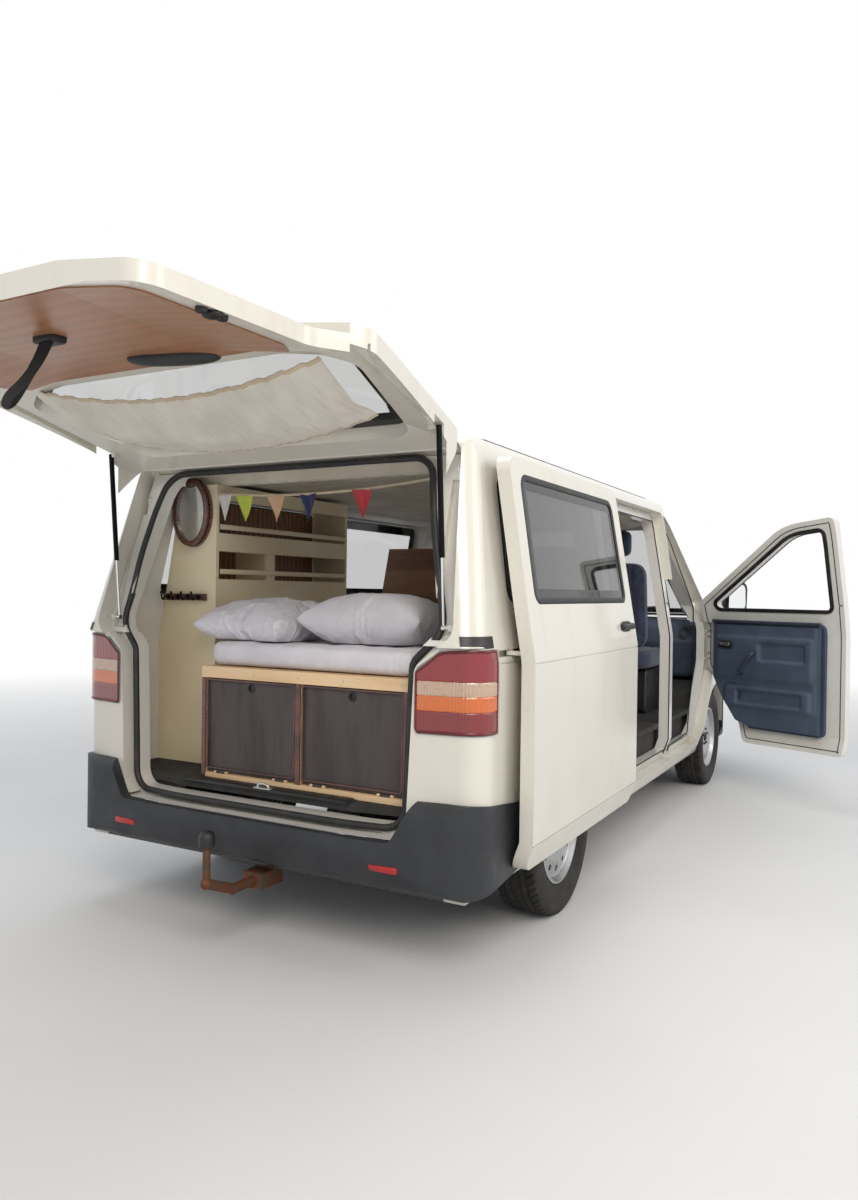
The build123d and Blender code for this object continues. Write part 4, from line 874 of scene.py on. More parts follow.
class CAMPER_OT_tailgate(bpy.types.Operator):
    """Fit the tailgate's curtain, pull strap, lock cover, buffers, blank plate with its ledge, and wiper"""

    bl_idname = "camper.tailgate"
    bl_label = "Tailgate fittings"

    def execute(self, context):
        self.curtain(context.scene.camper_sizes)
        self.strap()
        slope = np.array((0.085, -0.281, 0)) / math.hypot(0.085, 0.281)
        across = np.array((slope[1], -slope[0], 0))
        turn = np.stack([slope, across, (0, 0, 1)], 1)
        cover = pebble((-1.497, -0.133, 2.083), (0.32, 0.075, 0.05), 0.75, 20, 40, turn)
        Shape().grid(cover, False, True).object("tailgate_lock_cover", "dark_plastic", "tailgate_body")
        for side, word in SIDES:
            blocks = Shape()
            for x, size in (
                (-1.885, (0.045, 0.05, 0.024)), (-1.925, (0.025, 0.03, 0.02)), (-1.85, (0.025, 0.03, 0.02))
            ):
                where, up = lay("tailgate", np.array([[x, side * 0.652, 1.0]]), (0, 0, 1))
                blocks.grid(pebble(where[0] - (0, 0, 0.006), size, 0.6, 10, 18), False, True)
            blocks.object("side_buffer_" + word, "rubber", "tailgate_body")
        self.outside()
        return {"FINISHED"}

    def curtain(self, sizes):
        """Cloth between two hem lines that sag as parabolas, with gathers as sines across it.

        Its height falls from the rear hem to the front one, less a sag of (1 - t squared), t from -1 to 1
        across. The gathers fan out from the two rear corners and die away at the hems.
        """
        t = np.linspace(-1, 1, 260)[None, :]
        s = np.linspace(0, 1, 70)[:, None]
        x = np.interp(s, (0, 0.25, 0.58, 1), (-1.425, -1.34, -1.23, -1.09)) + 0.012 * (1 - t**2)
        level = np.interp(s, (0, 0.25, 0.58, 1), (2.056, 2.018, 1.976, 1.945)) + 0.016 * t
        sag = np.interp(s, (0, 0.25, 0.58, 1), (0.075, 0.085, 0.092, 0.09))
        belly = 0.018 * np.sin(np.pi * s)
        fan = np.sin(2 * np.pi * (6.5 * t + 1.1 * s * np.sign(t) + 0.25 * np.sin(7 * t)))
        fine = np.sin(2 * np.pi * (17 * t + 2.3 * s) + 3 * np.sin(5 * t))
        gather = sizes.curtain_gather * (0.35 + 0.65 * np.sin(np.pi * np.clip(s, 0.04, 1)) ** 0.6)
        folds = gather * (fan * (0.5 + 0.5 * np.abs(t)) + 0.35 * fine)
        z = level - sag * (1 - t**2) - belly * (1 - 0.4 * t**2) + folds
        y = 0.645 * t * np.ones_like(s)
        points = np.stack([x * np.ones_like(t), y, z], -1)
        curtain = Shape().grid(points).object(
            "curtain_sheet", "curtain_linen", "tailgate_body", ("tailgate_curtain",)
        )
        wall = curtain.modifiers.new("thickness", "SOLIDIFY")
        wall.thickness = 0.0014
        for name, row, width in (("rear", 1, 0.016), ("front", 67, 0.012)):
            path = points[row]
            up = np.gradient(points, axis=0)[row]
            up = np.cross(np.gradient(path, axis=0), up)
            up /= np.linalg.norm(up, axis=1)[:, None]
            up *= np.sign(up[:, 2:])
            tape = along(path, strap_profile(width, 0.0036) - (0, 0.0018), up)
            tape = Shape().grid(tape, False, True, True)
            tape.object("curtain_tape_" + name, "tape_tan", "tailgate_body")
        run = np.linalg.norm(np.diff(points[35], axis=0), axis=1).sum()
        drop = np.linalg.norm(np.diff(points[:, 130], axis=0), axis=1).sum()

    def strap(self):
        """Webbing loop that hangs from a moulded foot on the tailgate's lining."""
        route = np.array(
            [
                (-1.835, 0.022, 2.070), (-1.862, 0.028, 2.010), (-1.893, 0.052, 1.945),
                (-1.915, 0.088, 1.900), (-1.905, 0.116, 1.878), (-1.882, 0.118, 1.893),
                (-1.862, 0.096, 1.945), (-1.842, 0.066, 2.015), (-1.828, 0.050, 2.070),
            ]
        )
        path = curve_through(route, 90)
        band = along(path, strap_profile(0.026, 0.0028), (-0.6, -0.8, 0.0))
        strap = Shape().grid(band, False, True, True).object("pull_strap", "webbing", "tailgate_body")
        length = float(np.linalg.norm(np.diff(path, axis=0), axis=1).sum())
        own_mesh(strap)
        foot = pebble((-1.822, 0.037, 2.078), (0.06, 0.10, 0.03), 0.45, 14, 28)
        Shape().grid(foot, False, True).object("strap_foot", "black_plastic", "tailgate_body")

    def outside(self):
        """Blank number plate, its lamp ledge and the wiper, on the tailgate's outer face, which looks up."""
        corners = panel(-0.26, 0.26, -0.055, 0.055, 0.008, 4)
        base = np.stack([corners[:, 1] - 1.79, corners[:, 0], np.full(len(corners), ABOVE)], -1)
        points, normal = lay("tailgate", base, (0, 0, -1))
        top = points[:, 2].max() + 0.002
        layers = (
            (0.0, 0.004, 1.02, "plate_holder", "black_plastic"),
            (0.0042, 0.0056, 0.985, "blank_plate", "plate_white"),
        )
        for low, high, grow, name, finish in layers:
            flat = np.stack([(corners[:, 1] * grow) - 1.79, corners[:, 0] * grow], -1)
            Shape().plate(flat, top + low, top + high, 2, 0.0006).object(name, finish, "tailgate_body")
        ledge = np.stack([np.full(40, -1.70), np.linspace(-0.33, 0.33, 40), np.full(40, ABOVE)], -1)
        path, up = lay("tailgate", ledge, (0, 0, -1))
        section = outline(
            ((-0.02, 0, 0.002), (0.024, 0, 0.002), (0.014, 0.008, 0.003), (-0.012, 0.007, 0.003)), 3
        )
        Shape().carry(path, section, up).object("plate_lamp_ledge", "cream_paint", "tailgate_body")
        pivot = np.array([[-1.395, -0.05, ABOVE]])
        where, up = lay("tailgate_glass tailgate", pivot, (0, 0, -1))
        hub = spin(
            ((0, 0.0), (0.016, 0.0), (0.018, 0.012), (0.012, 0.024), (0, 0.026)), where[0], (0, 0, 1), 24
        )
        arm_path = np.stack(
            [np.linspace(-1.395, -1.36, 30), np.linspace(-0.05, 0.40, 30), np.full(30, ABOVE)], -1
        )
        path, up = lay("tailgate_glass", arm_path, (0, 0, -1), 0.02)
        wiper = Shape().grid(hub, False, True)
        wiper.carry(path, ring(0.006, 8, 0.6), up)
        blade, up = lay("tailgate_glass", arm_path + (0.02, 0.09, 0), (0, 0, -1), 0.006)
        wiper.carry(blade, ((-0.003, -0.005), (0.003, -0.005), (0.005, 0.008), (-0.005, 0.008)), up)
        wiper.object("rear_wiper", "black_plastic", "tailgate_body")


def swollen(piece, cap, voxel=0.0, pressure=4.0, growth=0.0):
    """Blows a closed piece up by cloth simulation, no point moved further than the cap, and applies it."""
    mesh = piece.data
    scene = bpy.context.scene
    if voxel:
        again = piece.modifiers.new("remesh", "REMESH")
        again.mode = "VOXEL"
        again.voxel_size = voxel
        settle(piece)
        mesh = piece.data
    before = np.empty(3 * len(mesh.vertices))
    mesh.vertices.foreach_get("co", before)
    fabric = piece.modifiers.new("cloth", "CLOTH")
    fabric.settings.quality = 5
    fabric.settings.mass = 0.25
    fabric.settings.bending_stiffness = 0.15
    fabric.settings.use_pressure = True
    fabric.settings.uniform_pressure_force = pressure
    fabric.settings.shrink_min = -growth
    fabric.settings.effector_weights.gravity = 0
    for step in range(1, 21):
        scene.frame_set(step)
    settle(piece)
    mesh = piece.data
    scene.frame_set(1)
    after = np.empty_like(before)
    mesh.vertices.foreach_get("co", after)
    start, end = before.reshape(-1, 3), after.reshape(-1, 3)
    gone = np.linalg.norm(end - start, axis=1)[:, None]
    held = start + (end - start) * np.minimum(1, cap / np.maximum(gone, 1e-9))
    mesh.vertices.foreach_set("co", held.reshape(-1))
    mesh.update()


def settle(piece):
    """Puts what the modifiers make of a piece into its mesh and takes the modifiers off."""
    made = bpy.data.meshes.new_from_object(piece.evaluated_get(bpy.context.evaluated_depsgraph_get()))
    made.name = piece.name
    piece.modifiers.clear()
    piece.data = made


def smoothed(piece):
    """Ends a soft piece with one subdivision and smooth shading."""
    finer = piece.modifiers.new("finer", "SUBSURF")
    finer.levels = finer.render_levels = 1
    piece.data.shade_smooth()
    return piece


def creased(piece, height, scale, shift):
    """Moves each point along its normal by ridges: powers of 1 - |sine| of a warped place, added up."""
    mesh = piece.data
    where = np.empty(3 * len(mesh.vertices))
    way = np.empty_like(where)
    mesh.vertices.foreach_get("co", where)
    mesh.vertex_normals.foreach_get("vector", way)
    where, way = where.reshape(-1, 3), way.reshape(-1, 3)
    x, y, z = (where * scale + shift).T
    warp = np.sin(0.9 * x + 1.3 * y) + 0.7 * np.sin(1.9 * y - 0.8 * x + 1.1 * z)
    warp += 0.4 * np.sin(3.3 * x + 2.1 * y)
    ridge = (1 - np.abs(np.sin(1.1 * x + 1.5 * warp))) ** 4
    ridge += 0.8 * (1 - np.abs(np.sin(1.6 * y - 0.9 * x + 2.1 * warp))) ** 4
    ridge += 0.35 * (1 - np.abs(np.sin(3.7 * y + 2.2 * x + 3.0 * warp))) ** 3
    where += way * (height * (ridge - 0.55))[:, None]
    mesh.vertices.foreach_set("co", where.reshape(-1))
    mesh.update()


def pushed_down(piece, low, high=None):
    """Keeps a soft piece between two heights, given in metres over the ground."""
    where = np.empty(3 * len(piece.data.vertices))
    piece.data.vertices.foreach_get("co", where)
    where = where.reshape(-1, 3)
    where[:, 2] = np.clip(where[:, 2], low, high)
    piece.data.vertices.foreach_set("co", where.reshape(-1))
    piece.data.update()


# a pillow with more slack than this is a limp one
LOOSE = 0.05


class CAMPER_OT_bedding(bpy.types.Operator):
    """Make the mattress in its fitted sheet and the two pillows, blown up by cloth simulation"""

    bl_idname = "camper.bedding"
    bl_label = "Bedding"

    def execute(self, context):
        self.mattress()
        cap = context.scene.camper_sizes.pillow_swell
        self.pillow(
            "pillow_left", (-0.555, 0.222, 1.212), (0.41, 0.48), 0.145, -0.10, "pillow_cotton", cap, 0.10,
            0.05,
        )
        self.pillow(
            "pillow_right", (-0.500, -0.299, 1.228), (0.42, 0.55), 0.170, 0.06, "seersucker", cap, 0.03, -0.04
        )
        return {"FINISHED"}

    def mattress(self):
        """Slab: half height h ((1 - u^60) (1 - v^40))^0.34, u along and v across, both sines of even steps.

        Low waves of the fitted sheet are sines of both on the top, and gathers along the edge are finer ones.
        """
        u = np.sin(np.linspace(-np.pi / 2, np.pi / 2, 150))[:, None]
        v = np.sin(np.linspace(-np.pi / 2, np.pi / 2, 110))[None, :]
        x = 0.1655 + 0.9505 * u * (1 - 0.02 * v**30)
        y = -0.119 + 0.4805 * v * (1 - 0.012 * u**60)
        crown = 0.0495 * (np.clip(1 - u**60, 0, 1) * np.clip(1 - v**40, 0, 1)) ** 0.34
        crease = np.sin(31 * y + 4 * np.sin(5 * x)) * np.sin(9 * x + 2 * np.sin(7 * y))
        crease = crease + 0.6 * np.sin(70 * y + 15 * x)
        gather = np.sin(190 * y + 6 * np.sin(9 * y)) * np.exp(-(((1 - np.abs(u)) / 0.02) ** 2))
        faces = []
        for face in (1, -1):
            wrinkle = 0.0024 * crease * (crown / 0.049) ** 2 if face > 0 else 0
            z = 1.0865 + face * crown * (1 + 0.035 * gather) + wrinkle
            faces.append(np.stack([x - 0.004 * gather * (crown / 0.049) * np.sign(u) * 0.5, y, z], -1))
        slab = Shape().grid(faces[0])
        slab.add(faces[1], grid_faces(150, 110)[:, ::-1])
        piece = slab.object("mattress_sheet", "sheet_cotton", "van_body", replaces=("mattress",))
        creased(piece, 0.0016, 11.0, 0.4)
        pushed_down(piece, 1.0366, 1.1395)
        smoothed(piece)

    def pillow(self, name, centre, size, thick, turn, finish, cap, slack, lean):
        """Pillow: a rectangle whose sides draw in between its corners, and whose height falls to the seam.

        u and v run from -1 to 1. The half height is thick/2 (1 - u^4)^0.5 (1 - v^4)^0.5, and each side draws
        in by a parabola between the corners. Broad dents and creases are sines of u and v.
        """
        u = np.linspace(-1, 1, 72)[:, None]
        v = np.linspace(-1, 1, 84)[None, :]
        draw_u = 1 - 0.07 * (1 - v**2)
        draw_v = 1 - 0.06 * (1 - u**2)
        x = size[0] / 2 * u * draw_u
        y = size[1] / 2 * v * draw_v
        crown = thick / 2 * np.sqrt(np.clip(1 - u**4, 0, 1) * np.clip(1 - v**4, 0, 1))
        hollow = ((u - 0.1) / 0.5) ** 2
        dent = 1 - 0.22 * np.exp(-hollow - ((v + 0.15 + 0.3 * u) / 0.28) ** 2) if slack > LOOSE else 1.0
        waves = np.sin(9 * v + 5 * u + 2 * np.sin(4 * u)) * np.cos(6 * u - 2 * v)
        crumple = 0.045 * slack * (waves + 0.6 * np.sin(15 * u + 3 * np.sin(6 * v)))
        fade = np.sqrt(np.clip((1 - u**2) * (1 - v**2), 0, 1))
        cos, sin = math.cos(turn), math.sin(turn)
        flat = [x * cos - y * sin, x * sin + y * cos]
        made = []
        for face in (1, -1):
            z = (face * crown * dent + face * crumple * fade) * np.ones_like(x)
            made.append(np.stack([*flat, z + lean * x], -1) + centre)
        pad = Shape().grid(made[0])
        pad.add(made[1], grid_faces(72, 84)[:, ::-1])
        piece = pad.object(name, finish, "van_body", ("pillows",))
        swollen(piece, cap, 0.006, 4.0, slack)
        creased(piece, 0.05 * slack + 0.0012, 16.0 if slack > LOOSE else 11.0, turn * 9)
        pushed_down(piece, 1.1415, 1.352)
        smoothed(piece)


class CAMPER_OT_interior(bpy.types.Operator):
    """Fit the rear interior: ceiling slats, shelves, mirror, hooks, bunting, bed rails, knobs and screws"""

    bl_idname = "camper.interior"
    bl_label = "Rear interior"

    def execute(self, context):
        self.ceiling()
        self.shelves()
        self.mirror()
        self.bunting()
        self.bed()
        return {"FINISHED"}

    def ceiling(self):
        """Tongue-and-groove slats along the van, each a shallow arch across between two grooves."""
        width = 0.082
        slats = Shape()
        for k in range(16):
            y0 = -0.656 + k * width
            across = np.linspace(0, 1, 7)
            drop = 0.0045 + 0.0012 * np.sin(np.pi * across)
            x = np.linspace(-0.545, 1.55, 40)
            y = y0 + 0.002 + (width - 0.004) * across[None, :]
            starts = np.stack(np.broadcast_arrays(x[:, None], y, 1.2), -1)
            points, normal = lay("ceiling", starts, (0, 0, 1))
            low = points - (0, 0, 1) * drop[None, :, None]
            high = points[:, ::-1] - (0, 0, 0.0004)
            slats.grid(np.concatenate([low, high], 1), False, True, True)
        slats.object("ceiling_slats", "ceiling", "van_body")

    def shelves(self):
        """Beads along the front edges of the shelves, and the brown board behind them."""
        section = outline(
            (
                (-0.0012, -0.011, 0.001), (0.0035, -0.011, 0.002), (0.0035, 0.011, 0.002),
                (-0.0012, 0.011, 0.001),
            ),
            3,
        )
        beads = Shape()
        for z in (1.628, 1.43, 1.255):
            x = np.linspace(-0.575, 0.40, 120)
            beads.carry(np.stack([x, np.full_like(x, 0.4985), np.full_like(x, z)], -1), section)
        beads.object("shelf_edges", "cream_board", "van_body")
        flat = outline(
            ((-0.578, 1.05, 0.004), (0.395, 1.05, 0.004), (0.395, 1.76, 0.02), (-0.578, 1.76, 0.02)), 3
        )
        Shape().plate(flat, 0.712, 0.716, 1, 0.0008).object("shelf_back", "brown_board", "van_body")

    def mirror(self):
        """Oval looking glass in its turned dark frame: an ellipse with a moulded section carried round it."""
        centre = np.array((-0.6225, 0.626, 1.690))
        angle = np.linspace(0, 2 * np.pi, 140, endpoint=False)
        a, b = 0.106, 0.152
        path = centre + np.stack(
            [np.full_like(angle, -0.006), a * 0.86 * np.cos(angle), b * 0.9 * np.sin(angle)], -1
        )
        out = np.stack([np.zeros_like(angle), np.cos(angle) / a, np.sin(angle) / b], -1)
        out /= np.linalg.norm(out, axis=1)[:, None]
        section = outline(
            (
                (-0.006, -0.011, 0.002), (0.006, -0.011, 0.002), (0.010, 0.0, 0.004), (0.006, 0.013, 0.003),
                (-0.006, 0.013, 0.003),
            ),
            4,
        )
        Shape().carry(path, section, out, True).object("mirror_frame", "dark_wood", "van_body")
        share = np.linspace(0.02, 0.86, 10)[:, None]
        face = centre + np.stack(
            [np.full((10, 140), -0.0015), a * share * np.cos(angle), b * share * np.sin(angle)], -1
        )
        back = face[::-1] + (0.001, 0, 0)
        Shape().grid(np.concatenate([face, back]), False, True, True).object(
            "mirror_glass", "mirror_glass", "van_body"
        )
        hooks = Shape()
        for y in (0.58, 0.64, 0.70, 0.76):
            foot = ((0, 0), (0.011, 0), (0.012, 0.003), (0.006, 0.005), (0, 0.005))
            hooks.grid(spin(foot, (-0.6225, y, 1.315), (-1, 0, 0), 20), False, True)
            bends = ((-0.625, 1.318), (-0.645, 1.316), (-0.658, 1.302), (-0.664, 1.318), (-0.668, 1.333))
            route = curve_through([(x, y, z) for x, z in bends], 26)
            hooks.carry(route, ring(0.003, 8), (0, 1, 0))
            hooks.grid(pebble((-0.6685, y, 1.335), (0.011, 0.011, 0.011), 1.0, 8, 12), False, True)
        hooks.object("coat_hooks", "black_metal", "van_body")

    def bunting(self):
        """Cord that sags between its ends as a shallow parabola, with cloth triangles hanging from it."""
        ends = np.array(((-0.592, 0.780, 1.800), (-0.592, -0.700, 1.800)))
        share = np.linspace(0, 1, 120)
        line = ends[0] + (ends[1] - ends[0]) * share[:, None]
        line[:, 2] -= 0.050 * (1 - (2 * share - 1) ** 2)
        band = along(line, strap_profile(0.010, 0.0012), (1, 0, 0))
        cord = Shape().grid(band, False, True, True).object("bunting_tape", "tape_tan", "van_body")
        length = float(np.linalg.norm(np.diff(line, axis=0), axis=1).sum())
        flags = (
            (0.112, "flag_red"), (0.213, "flag_white"), (0.292, "flag_green"),
            (0.407, "flag_peach"), (0.518, "flag_navy"), (0.70, "flag_red"),
        )
        for k, (at, colour) in enumerate(flags):
            top = np.array([np.interp(at, share, line[:, j]) for j in range(3)])
            self.flag(top, 0.095, 0.115, 0.05 * math.sin(2.1 * k), f"flag_{k}", colour)

    def flag(self, top, width, drop, twist, name, colour):
        """Triangle of cloth: its width falls evenly to the point, and it curls by a sine of the way down."""
        s = np.linspace(0, 0.985, 26)[:, None]
        t = np.linspace(-1, 1, 17)[None, :]
        y = width / 2 * t * (1 - s)
        z = -drop * s - 0.004 * (1 - t**2) * (1 - s)
        curl = 0.010 * np.sin(2.2 * s + 2 * twist) * np.ones_like(t)
        x = curl + twist * y * 1.2 + 0.003 * np.sin(5 * t + 3 * s + 40 * twist)
        points = np.stack([x - 0.0022, y, z + 0.001], -1) + top
        piece = Shape().grid(points).object(name, colour, "van_body")
        wall = piece.modifiers.new("thickness", "SOLIDIFY")
        wall.thickness = 0.0008

    def bed(self):
        """Pale rails, dark posts and divider, round knobs and screw heads on the front of the bed box."""
        front = -0.8095
        boards = (
            ("bed_top_rail", "pine", -0.610, 0.372, 0.990, 1.036, 0.0065),
            ("bed_low_rail", "pine", -0.590, 0.352, 0.576, 0.600, 0.0045),
            ("bed_divider", "dark_wood", -0.129, -0.107, 0.6005, 0.9895, 0.0055),
            ("bed_post_left", "dark_wood", 0.353, 0.372, 0.577, 0.9895, 0.0055),
            ("bed_post_right", "dark_wood", -0.610, -0.591, 0.577, 0.9895, 0.0055),
        )
        for name, finish, y0, y1, z0, z1, thick in boards:
            flat = panel(y0, y1, z0, z1, 0.001, 2)
            Shape().plate(flat, front - thick, front - 0.0004, 0, 0.0008).object(name, finish, "van_body")
        heads = Shape()
        for y in (-0.585, -0.33, -0.12, 0.10, 0.348):
            dome = ((0, 0.0018), (0.0022, 0.0018), (0.0038, 0.0009), (0.0042, 0))
            heads.grid(spin(dome, (front - 0.0065, y, 1.013), (-1, 0, 0), 18), False, True)
        heads.object("bed_screws", "steel", "van_body")
        knob = (
            (0, -0.004), (0.0085, -0.004), (0.0100, -0.0005), (0.0112, 0.0035),
            (0.0150, 0.0045), (0.0168, 0.0032), (0.0172, 0.0003), (0.0121, 0.0003),
        )
        section = outline(
            (
                (-0.003, -0.0005, 0.0005), (0.003, -0.0005, 0.0005), (0.003, 0.0016, 0.0008),
                (-0.003, 0.0016, 0.0008),
            ),
            2,
        )
        for word, low, high in (("left", -0.102, 0.350), ("right", -0.588, -0.134)):
            centre = (front + 0.009, (low + high) / 2, 0.955)
            turned = Shape().grid(spin(knob, centre, (-1, 0, 0), 36), False, True)
            turned.object("flap_knob_" + word, "black_plastic", "flap_" + word[0])
            edge = evenly(panel(low + 0.004, high - 0.004, 0.620, 0.982, 0.004, 3), 200)
            edge = np.insert(edge, 0, front - 0.0002, axis=1)
            trim = Shape().carry(edge, section, (-1, 0, 0), True)
            trim.object("flap_edging_" + word, "dark_wood", "flap_" + word[0])


class CAMPER_OT_wheels(bpy.types.Operator):
    """Make the treaded tyres, and the wheels' caps and bolts"""

    bl_idname = "camper.wheels"
    bl_label = "Wheels"

    def execute(self, context):
        depth = context.scene.camper_sizes.tread_depth
        for x, place in ((0.0, "rear"), (WHEELBASE, "front")):
            for side, word in SIDES:
                self.tyre(x, side, f"{place}_{word}", depth)
                self.cap(x, side, f"{place}_{word}")
        return {"FINISHED"}

    def tyre(self, x, side, word, depth):
        """Tyre: a section carried round the axle, lowered by four grooves, slanted shoulder cuts and sipes.

        A groove is a flat-bottomed dip in the section. A cut or sipe is where a sine of the angle and of the
        place across exceeds a limit. Fine ribs and raised rings mark the side walls.
        """
        half = (
            (0.04, WHEEL_RADIUS, 0.0), (0.087, 0.3345, 0.013), (0.0985, 0.308, 0.02), (0.1015, 0.262, 0.03),
            (0.084, 0.216, 0.006), (0.076, 0.209, 0.004),
        )
        section = evenly(outline(tuple((-a, r, bend) for a, r, bend in reversed(half)) + half, 4), 170)
        across, radius = section[:, 0], section[:, 1]
        count = 360
        angle = np.linspace(0, 2 * np.pi, count, endpoint=False)[:, None]
        crown = np.clip((radius - 0.318) / 0.014, 0, 1)[None, :]
        cut = np.zeros((count, len(across)))
        for centre in (-0.052, -0.019, 0.019, 0.052):
            cut = np.maximum(cut, np.exp(-(((across - centre) / 0.0042) ** 8))[None, :] * np.ones_like(angle))
        wave = 60 * angle + 120 * np.abs(across)[None, :]
        shoulder = (np.abs(across) > 0.056)[None, :] * (np.sin(wave) > 0.80)
        sipe = (np.abs(across) < 0.05)[None, :] * (np.sin(60 * angle + 260 * across[None, :]) > 0.93) * 0.6
        cut = np.maximum(cut, np.maximum(shoulder, sipe)) * crown * depth
        ribs = 0.0007 * (np.abs(radius - 0.285) < 0.012)[None, :] * (np.sin(180 * angle) > 0)
        ribs = ribs * (np.abs(across) > 0.09)[None, :]
        rings = np.exp(-(((radius - 0.244) / 0.0022) ** 2)) + np.exp(-(((radius - 0.300) / 0.0016) ** 2))
        rings = 0.0012 * rings * (np.abs(across) > 0.08)
        r = radius[None, :] - cut
        wall = np.sign(across)[None, :] * (0.0015 - ribs - rings[None, :]) * (np.abs(across) > 0.08)[None, :]
        y = across[None, :] - wall
        points = [x + r * np.cos(angle), side * (WHEEL_SIDE + y), WHEEL_RADIUS + r * np.sin(angle)]
        tread = Shape().grid(np.stack(points, -1), True, True)
        tread.object("tyre_tread_" + word, "tyre_rubber", "wheel_" + word, ("tyre_" + word,))

    def cap(self, x, side, word):
        """Centre cap with a shallow dome, and five bolts round it."""
        far = side * 1.2
        places = np.array([[x, far, WHEEL_RADIUS], [x + 0.045, far, WHEEL_RADIUS]])
        start, normal = lay("rim_" + word, places, (0, -side, 0))
        dome = ((0.0, 0.012), (0.012, 0.0117), (0.024, 0.0100), (0.030, 0.0065), (0.032, 0.0003))
        hub = Shape().grid(spin(dome, (x, start[0, 1], WHEEL_RADIUS), (0, side, 0), 48), False, True)
        hub.object("wheel_cap_" + word, "black_plastic", "wheel_" + word)
        bolts = Shape()
        turns = np.arange(5) * 2 * np.pi / 5 + 0.3
        starts = [x + 0.056 * np.cos(turns), np.full(5, far), WHEEL_RADIUS + 0.056 * np.sin(turns)]
        seats, normal = lay("rim_" + word, np.stack(starts, -1), (0, -side, 0))
        for seat in seats:
            head = ((0, 0.010), (0.0075, 0.010), (0.0085, 0.0085), (0.0085, 0.0004), (0.012, 0.0003))
            bolts.grid(spin(head, seat, (0, side, 0), 6), False, True)
        bolts.object("wheel_bolts_" + word, "cast_iron", "wheel_" + word)


# inner face of the shut left door, and a place inside the cab from which rays are cast at it
DOOR_INNER = 0.8435
CABIN = 0.2


